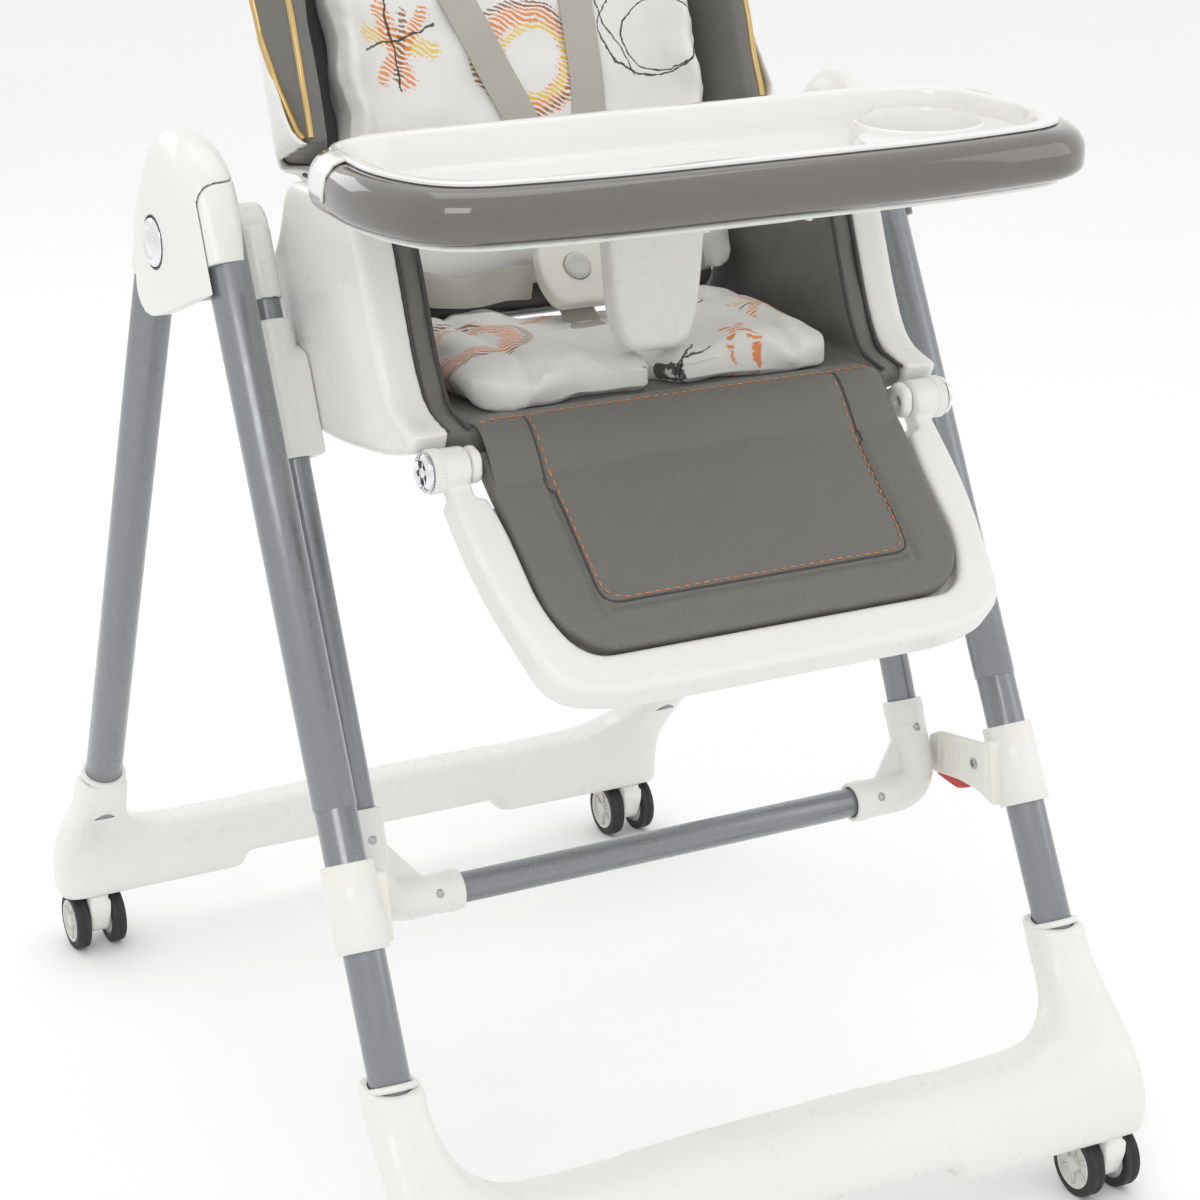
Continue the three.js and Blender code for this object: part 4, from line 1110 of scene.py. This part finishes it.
def build_harness(rest):
    tree = surface_under(rest)
    out = (BACK.to_3x3() @ Vector((0, -1, 0))).normalized()
    routes = {"left": [(-60, 300), (-54, 262), (-41, 214), (-24, 168), (-8, 128), (4, 92), (4, 62)],
              "right": [(60, 300), (59, 250), (58, 200), (57, 150), (53, 104), (42, 66)]}
    for side, route in routes.items():
        path = []
        for x, _, z in even(spline([(x, 0, z) for x, z in route], 8), 4.0):
            start = (BACK @ Vector((x, -140, z))) * MM
            hit = tree.ray_cast(start, -out)[0]
            depth = (BACK.inverted() @ (hit / MM)).y if hit else -50
            path.append(Vector((x, depth - 2.4, z)))
        path = [sum((path[max(min(i + k, len(path) - 1), 0)] for k in range(-3, 4)), Vector()) / 7
                for i in range(len(path))]
        strap = swept(f"shoulder_strap_webbing_{side}", path, strap_section(27, 2.2), (0, -1, 0), place=BACK)
        done(strap, WEBBING, "backrest", f"shoulder_strap_{side}")
        ladder = path[len(path) // 4]
        done(adjuster(f"strap_adjuster_{side}", ladder + Vector((0, -2.6, 0)), BACK, 34), PALE, "backrest")

    for side, sign in SIDES.items():
        line = [(sign * 31, -38.5, 647), (sign * 52, -38, 648), (sign * 76, -33, 643),
                (sign * 98, -27, 645), (sign * 119, -20.5, 650)]
        twist = 0.5 if sign < 0 else 0.25

        def lean(_, share):
            angle = twist * math.sin(share * math.pi) * 1.6
            return Vector((0, -math.cos(angle), math.sin(angle)))

        webbing = swept(f"waist_strap_webbing_{side}", even(spline(line, 10), 3.0),
                        strap_section(25, 2.2, 1.2), lean)
        done(webbing, WEBBING, "seat", f"waist_strap_{side}")
    line = [(0, -84, 617.4), (0, -72, 617.4), (0, -62, 618.6), (0, -54, 622.5), (0, -46.5, 628.6)]
    between = swept("crotch_strap_webbing", even(spline(line, 8), 2.0), strap_section(27, 2.4), (0, -0.2, 1))
    done(between, WEBBING, "seat", "crotch_strap")

    buckle = from_cad("buckle_moulding", "buckle", 0.8, 6)
    done(buckle, IVORY, "seat", "buckle")
    button = turned("buckle_button_cap", [[0, 10], [4.6, 10], [5.6, 9.4], [6.2, 8], [6.0, 6], [5.6, 3],
                                          [5.5, 0]],
                    (0, -3.5, 2), (0, -20, 2), 48, BUCKLE)
    done(smooth(button, 45), PALE, "buckle_button", "buckle_button")


def adjuster(name, spot, place, width):
    """A three-bar slide on a strap."""
    shape = outline([[-width / 2, -11, 5], [width / 2, -11, 5], [width / 2, 11, 5], [-width / 2, 11, 5]], 6)
    body = prism(name, [(spot.x + u, spot.z + v) for u, v in shape], spot.y - 1.6, spot.y + 1.2, front_view,
                 place)
    for low in (-7.5, 2.0):
        window = [(spot.x - width / 2 + 3.5, spot.z + low), (spot.x + width / 2 - 3.5, spot.z + low),
                  (spot.x + width / 2 - 3.5, spot.z + low + 5.5), (spot.x - width / 2 + 3.5,
                      spot.z + low + 5.5)]
        cut(body, prism("tool", window, spot.y - 6, spot.y + 6, front_view, place))
    remesh(body, 0.6)
    relax(body, 5)
    return smooth(body, None)


# ---- backrest ----


def edge_x(z, inset=0.0):
    """Half the backrest's width at a height along it."""
    shape = outline([[156, -25, 14], [156, 96, 6], [197, 100, 18], [197, 320, 60], [166, 450, 80],
                     [0, 450]], 12)
    reach = [u for u, v in shape if abs(v - z) < 6]
    rows = sorted((v, u) for u, v in shape if v > 104)
    return float(np.interp(z, [r[0] for r in rows], [r[1] for r in rows])) - inset if reach or rows else 0


def build_backrest():
    shell = from_cad("backrest_shell_moulding", "backrest_shell", 2.2, 16, 4)
    done(shell, WHITE, "backrest", "backrest_shell")
    cover = from_cad("backrest_cover_padding", "backrest_cover", 2.6, 12, 5)
    puff(cover, 1.6, 30.0, (4, 2, 0))
    done(cover, LEATHER, "backrest", "backrest_cover")
    handle = from_cad("recline_handle_moulding", "recline_handle", 1.0, 8)
    done(handle, PALE, "recline_handle", "recline_handle")
    surface = surface_under(cover)
    for side, sign in SIDES.items():
        front = []
        for z in np.linspace(108, 436, 42):
            wing = -94 + max(z - 318, 0) * 0.205
            x = min(182.5, edge_x(z) - 2.5)
            front.append((sign * x, wing, z))
        path = laid_on(surface, front, BACK, 0.4)
        done(piping(f"wing_piping_{side}", path, 2.3, (sign, 0, 0), BACK), GOLD, "backrest")
        seam = []
        for z in np.linspace(106, 400, 40):
            y = float(np.interp(z, [106, 150, 190, 380, 480], [-92, -75, -59, -59, -41]))
            seam.append((sign * (edge_x(z) + 1), y, z))
        path = laid_on(surface, seam, BACK, 0.3)
        done(piping(f"seam_piping_{side}", path, 3.1, (sign, 0, 0), BACK), GOLD, "backrest")


def laid_on(surface, points, place, lift):
    """Moves points of a frame onto the nearest surface, lifted off it a little."""
    made = []
    for p in points:
        hit, normal, _, _ = surface.find_nearest((place @ Vector(p)) * MM)
        made.append(place.inverted() @ (hit / MM + normal * lift))
    return made


# ---- footrest ----


def build_footrest():
    body = from_cad("footrest_moulding", "footrest_frame", 1.8, 12, 5)
    done(body, WHITE, "footrest", "footrest_frame")
    pad = from_cad("footrest_padding", "footrest_pad", 1.8, 6, 3)
    co = local(FOOT, points_of(pad.data))
    x, y, z = co.T
    top = np.clip((z + 4) / 4, 0, 1)
    crown = 2.4 * np.clip(1 - (x / 118) ** 2, 0, 1) ** 0.7 * np.clip(1 - ((y + 58) / 76) ** 4, 0, 1)
    seam = groove(np.abs(x) - 118.5, 2.6) * np.clip((8 + y) / 4 + 30, 0, 1) + groove(y + 121,
        2.6) * (np.abs(x) < 112)
    rim = np.maximum(np.clip((np.abs(x) - 146) / 12, 0, 1), np.clip((-y - 138) / 12, 0, 1))
    z = z + top * (crown - 2.2 * np.clip(seam, 0, 1) - 1.6 * rim ** 2)
    x = x * 1.012
    y = np.where(y < -100, y * 1.014, y)
    set_points(pad.data, to_row(FOOT, np.stack([x, y, z], 1)))
    puff(pad, 0.9, 24.0, (2, 2, 2))
    done(pad, LEATHER, "footrest", "footrest_pad")
    surface = surface_under(pad)
    corners = [[-120.4, -15], [-119.5, -60], [-118.5, -121, 17], [118.5, -121, 17], [119.5, -60],
               [120.4, -15]]
    line = even([Vector((u, v, 4)) for u, v in outline(corners, 8)], 4)
    inner = [Vector((p.x * 0.972, p.y * 0.972, 4)) for p in line]
    done(stitches("footrest_stitches", laid_on(surface, inner, FOOT, 0.35), (0, 0, 1), place=FOOT), THREAD,
         "footrest")
    # A dark bead sunk along the seam groove: painted shade of the panel's crease.
    crease_shade = swept("footrest_panel_crease", laid_on(surface, line, FOOT, -0.2), circle(0.9, 8), (0, 0, 1),
                   place=FOOT)
    done(crease_shade, DARK_LEATHER, "footrest")

    cap = turned("cap", [[0, 4], [1.0, 13.2], [2.6, 13.5], [3.4, 13.1], [4.4, 11.6], [5.2, 10.2],
                         [4.2, 9.4], [3.6, 8.6], [3.6, 3.6], [4.4, 3.0], [4.9, 2.2], [5.0, 0]],
                 (198.4, 0, 0), (230, 0, 0), 72, FOOT)
    done_pair(smooth(cap, 40), "footrest_pivot_cap_{s}", CHROME, "footrest", ["footrest_pivot_{s}"])
    # Five dark discs on the pivot cap stand for its holes: painted shade of the holes.
    hole_shade_discs = []
    for k in range(5):
        a = 2 * math.pi * k / 5 + 0.3
        middle = Vector((201.9, 6.2 * math.cos(a), 6.2 * math.sin(a)))
        hole_shade_discs.append(smooth(turned("hole_shade_disc", [[0, 2.3], [0.5, 2.1], [0.7, 0]], middle,
                                    middle + Vector((1, 0, 0)), 20, FOOT), 60))
    done_pair(merged("hole_shade_discs", hole_shade_discs), "footrest_pivot_holes_{s}", DARK, "footrest")
    teeth = [(k / 90 * 2 * math.pi, 14.9 if k % 2 else 14.35) for k in range(90)]
    rings = [[(x, r * math.cos(a), r * math.sin(a)) for a, r in teeth] for x in (190.5, 197.6)]
    rings = [[(190.5, 13 * math.cos(a), 13 * math.sin(a)) for a, r in teeth], *rings,
             [(198.2, 13.4 * math.cos(a), 13.4 * math.sin(a)) for a, r in teeth]]
    done_pair(smooth(loft("serration", rings, place=FOOT), 25), "footrest_pivot_collar_{s}", WHITE,
              "footrest")


# ---- tray ----


def tray_outline(inset, steps=14):
    return symmetric([[130, -352 + inset, 60], [240 - inset, -338 + inset, 60], [264 - inset, -262, 50],
                      [257 - inset, -166, 50], [214 - inset, -125 - inset, 50]], steps)


def tray_rings(profile):
    return [[(u, v, z) for u, v in tray_outline(inset)] for inset, z in profile]


def build_tray():
    round_low = [(9 - 9 * math.sin(a), 757.3 - 9 * math.cos(a)) for a in (math.pi / 2 * k / 8
        for k in range(9))]
    round_high = [(15 - 15 * math.cos(a), 765 + 17 * math.sin(a)) for a in (math.pi / 2 * k / 10
        for k in range(11))]
    profile = [(24, 748.3), *round_low, *round_high, (23.4, 782), (24, 781.4)]
    rim = loft("tray_rim_gloss", tray_rings(profile), closed=True)
    done(smooth(rim, 45), TRAY_GREY, "tray", "tray_rim")

    profile = [(24.6, 756), (24.5, 782.2), (16.2, 782.2), (15.2, 783), (15.4, 784.4), (16.4, 785.3),
               (18, 785.5), (21, 785.5), (23.6, 785.1), (25.4, 784), (26.6, 782), (29.6, 768), (31, 763.6),
               (33, 761.2), (36, 760.1), (38, 760), (41, 760)]
    dish = loft("tray_liner_gloss", tray_rings(profile))
    edge = spline([(88, -342), (90, -318), (101, -262), (126, -217), (158, -176), (186, -146)], 10)
    deck_edge = [(p.x, p.y) for p in (Vector((*q, 0)) for q in edge)]
    rings = [[(x + lean, y, z) for x, y in [*deck_edge, (262, -146), (262, -342)]]
             for lean, z in ((-2, 757), (-1, 760), (0.4, 763), (2, 768), (3.2, 770.6), (4.6, 771.7),
                             (6.4, 772))]
    deck = common(loft("deck", rings), loft("tool", tray_rings([(26, 757), (26, 775)])))
    join(dish, deck)
    join(dish, turned("tool", [[0, 46.8], [19.2, 46.8], [22.8, 46.2], [25.6, 44.8], [26.6, 43.4],
                               [26.8, 42], [26.4, 0]],
                      (172, -226, 748.6), (172, -226, 800), 96))
    cut(dish, turned("tool", [[0, 0], [0.0, 36], [0.8, 38.6], [3, 39.8], [8, 40.4], [21, 41.6],
                              [24.0, 42.4], [25.4, 43.4], [40, 44]],
                     (172, -226, 751.5), (172, -226, 800), 96))
    done(smooth(dish, 32), TRAY_WHITE, "tray_liner", "tray_liner")
    tabs = []
    side = sorted((v, u) for u, v in tray_outline(0, 30) if u > 240)
    side = [p[0] for p in side], [p[1] for p in side]
    for sign in (-1, 1):
        rings = []
        for t in np.linspace(-1, 1, 13):
            y = -199 + 15 * t
            shrink = 3.0 * max(abs(t) - 0.8, 0) / 0.2
            edge = float(np.interp(y, *side))
            outer = [(20, 786.2), (14, 785.6), (6.6, 782.4), (1.0, 775.4), (-1.3, 766), (-1.4, 757.5)]
            inner = [(-0.1, 757.8), (-0.1, 766), (1.8, 774.4), (7.4, 780.9), (14.4, 783.6), (20, 784.6)]
            line = [(a, max(b, 757.6 + shrink) + (-0.5 if shrink else 0)) for a, b in outer + inner]
            rings.append([(sign * (edge - a), y, z) for a, z in line])
        tabs.append(smooth(loft("tab", rings), 45))
    done(merged("tray_liner_tabs", tabs), TRAY_WHITE, "tray_liner")
    base = from_cad("tray_base_moulding", "tray_base", 1.8, 10, 3)
    done(base, WHITE, "tray", "tray_base")
    release = from_cad("tray_release_grip", "tray_release", 0.9, 6)
    done(release, PALE, "tray_release", "tray_release")


build_legs()
build_base("front_base_moulding", "front_base", FRONT_LEG, -373.5, -386, "front_frame")
build_base("rear_base_moulding", "rear_base", REAR_LEG, 373.5, 358, "rear_frame")
build_hubs()
build_guide_frame()
build_locks()
build_casters()
build_seat()
build_sliders()
back_pad = build_cushions()
build_harness(back_pad)
build_backrest()
build_footrest()
build_tray()

# ---- floor and light ----

floor_look = Nodes("studio_floor", (0.9, 0.9, 0.9), 0.7)
floor_look.set("Base Color", floor_look.mix(floor_look.noise(0.8, 2.0), (0.93, 0.93, 0.93),
                                            (0.95, 0.95, 0.95)))
ground = make("studio_floor", [(-40000, -40000, -0.2), (40000, -40000, -0.2), (40000, 40000, -0.2),
                               (-40000, 40000, -0.2)],
              [(0, 1, 2, 3)])
ground.data.materials.append(floor_look.material)


def soft_light(name, spot, target, size, power, colour=(1, 1, 1)):
    lamp = bpy.data.lights.new(name, "AREA")
    lamp.shape, lamp.size, lamp.size_y, lamp.energy, lamp.color = "RECTANGLE", size[0], size[1], power, colour
    holder = bpy.data.objects.new(name, lamp)
    scene.collection.objects.link(holder)
    aim = (Vector(spot) - Vector(target)).to_track_quat("Z", "Y")
    holder.matrix_world = Matrix.Translation(spot) @ aim.to_matrix().to_4x4()


soft_light("key_light", (-1.6, -2.2, 2.7), (0, 0, 0.55), (1.6, 1.2), 17)
soft_light("fill_light", (2.4, -1.6, 1.6), (0, 0, 0.5), (1.4, 1.8), 6)
soft_light("top_light", (0.3, 0.4, 3.2), (0, 0, 0.5), (2.0, 1.4), 8)
soft_light("back_light", (-1.2, 2.6, 1.9), (0, 0, 0.6), (1.6, 1.0), 8)

world = bpy.data.worlds.new("studio")
scene.world = world
world.use_nodes = True
world.node_tree.nodes["Background"].inputs["Color"].default_value = (1, 1, 1, 1)
world.node_tree.nodes["Background"].inputs["Strength"].default_value = 0.96
scene.view_settings.view_transform = "Standard"
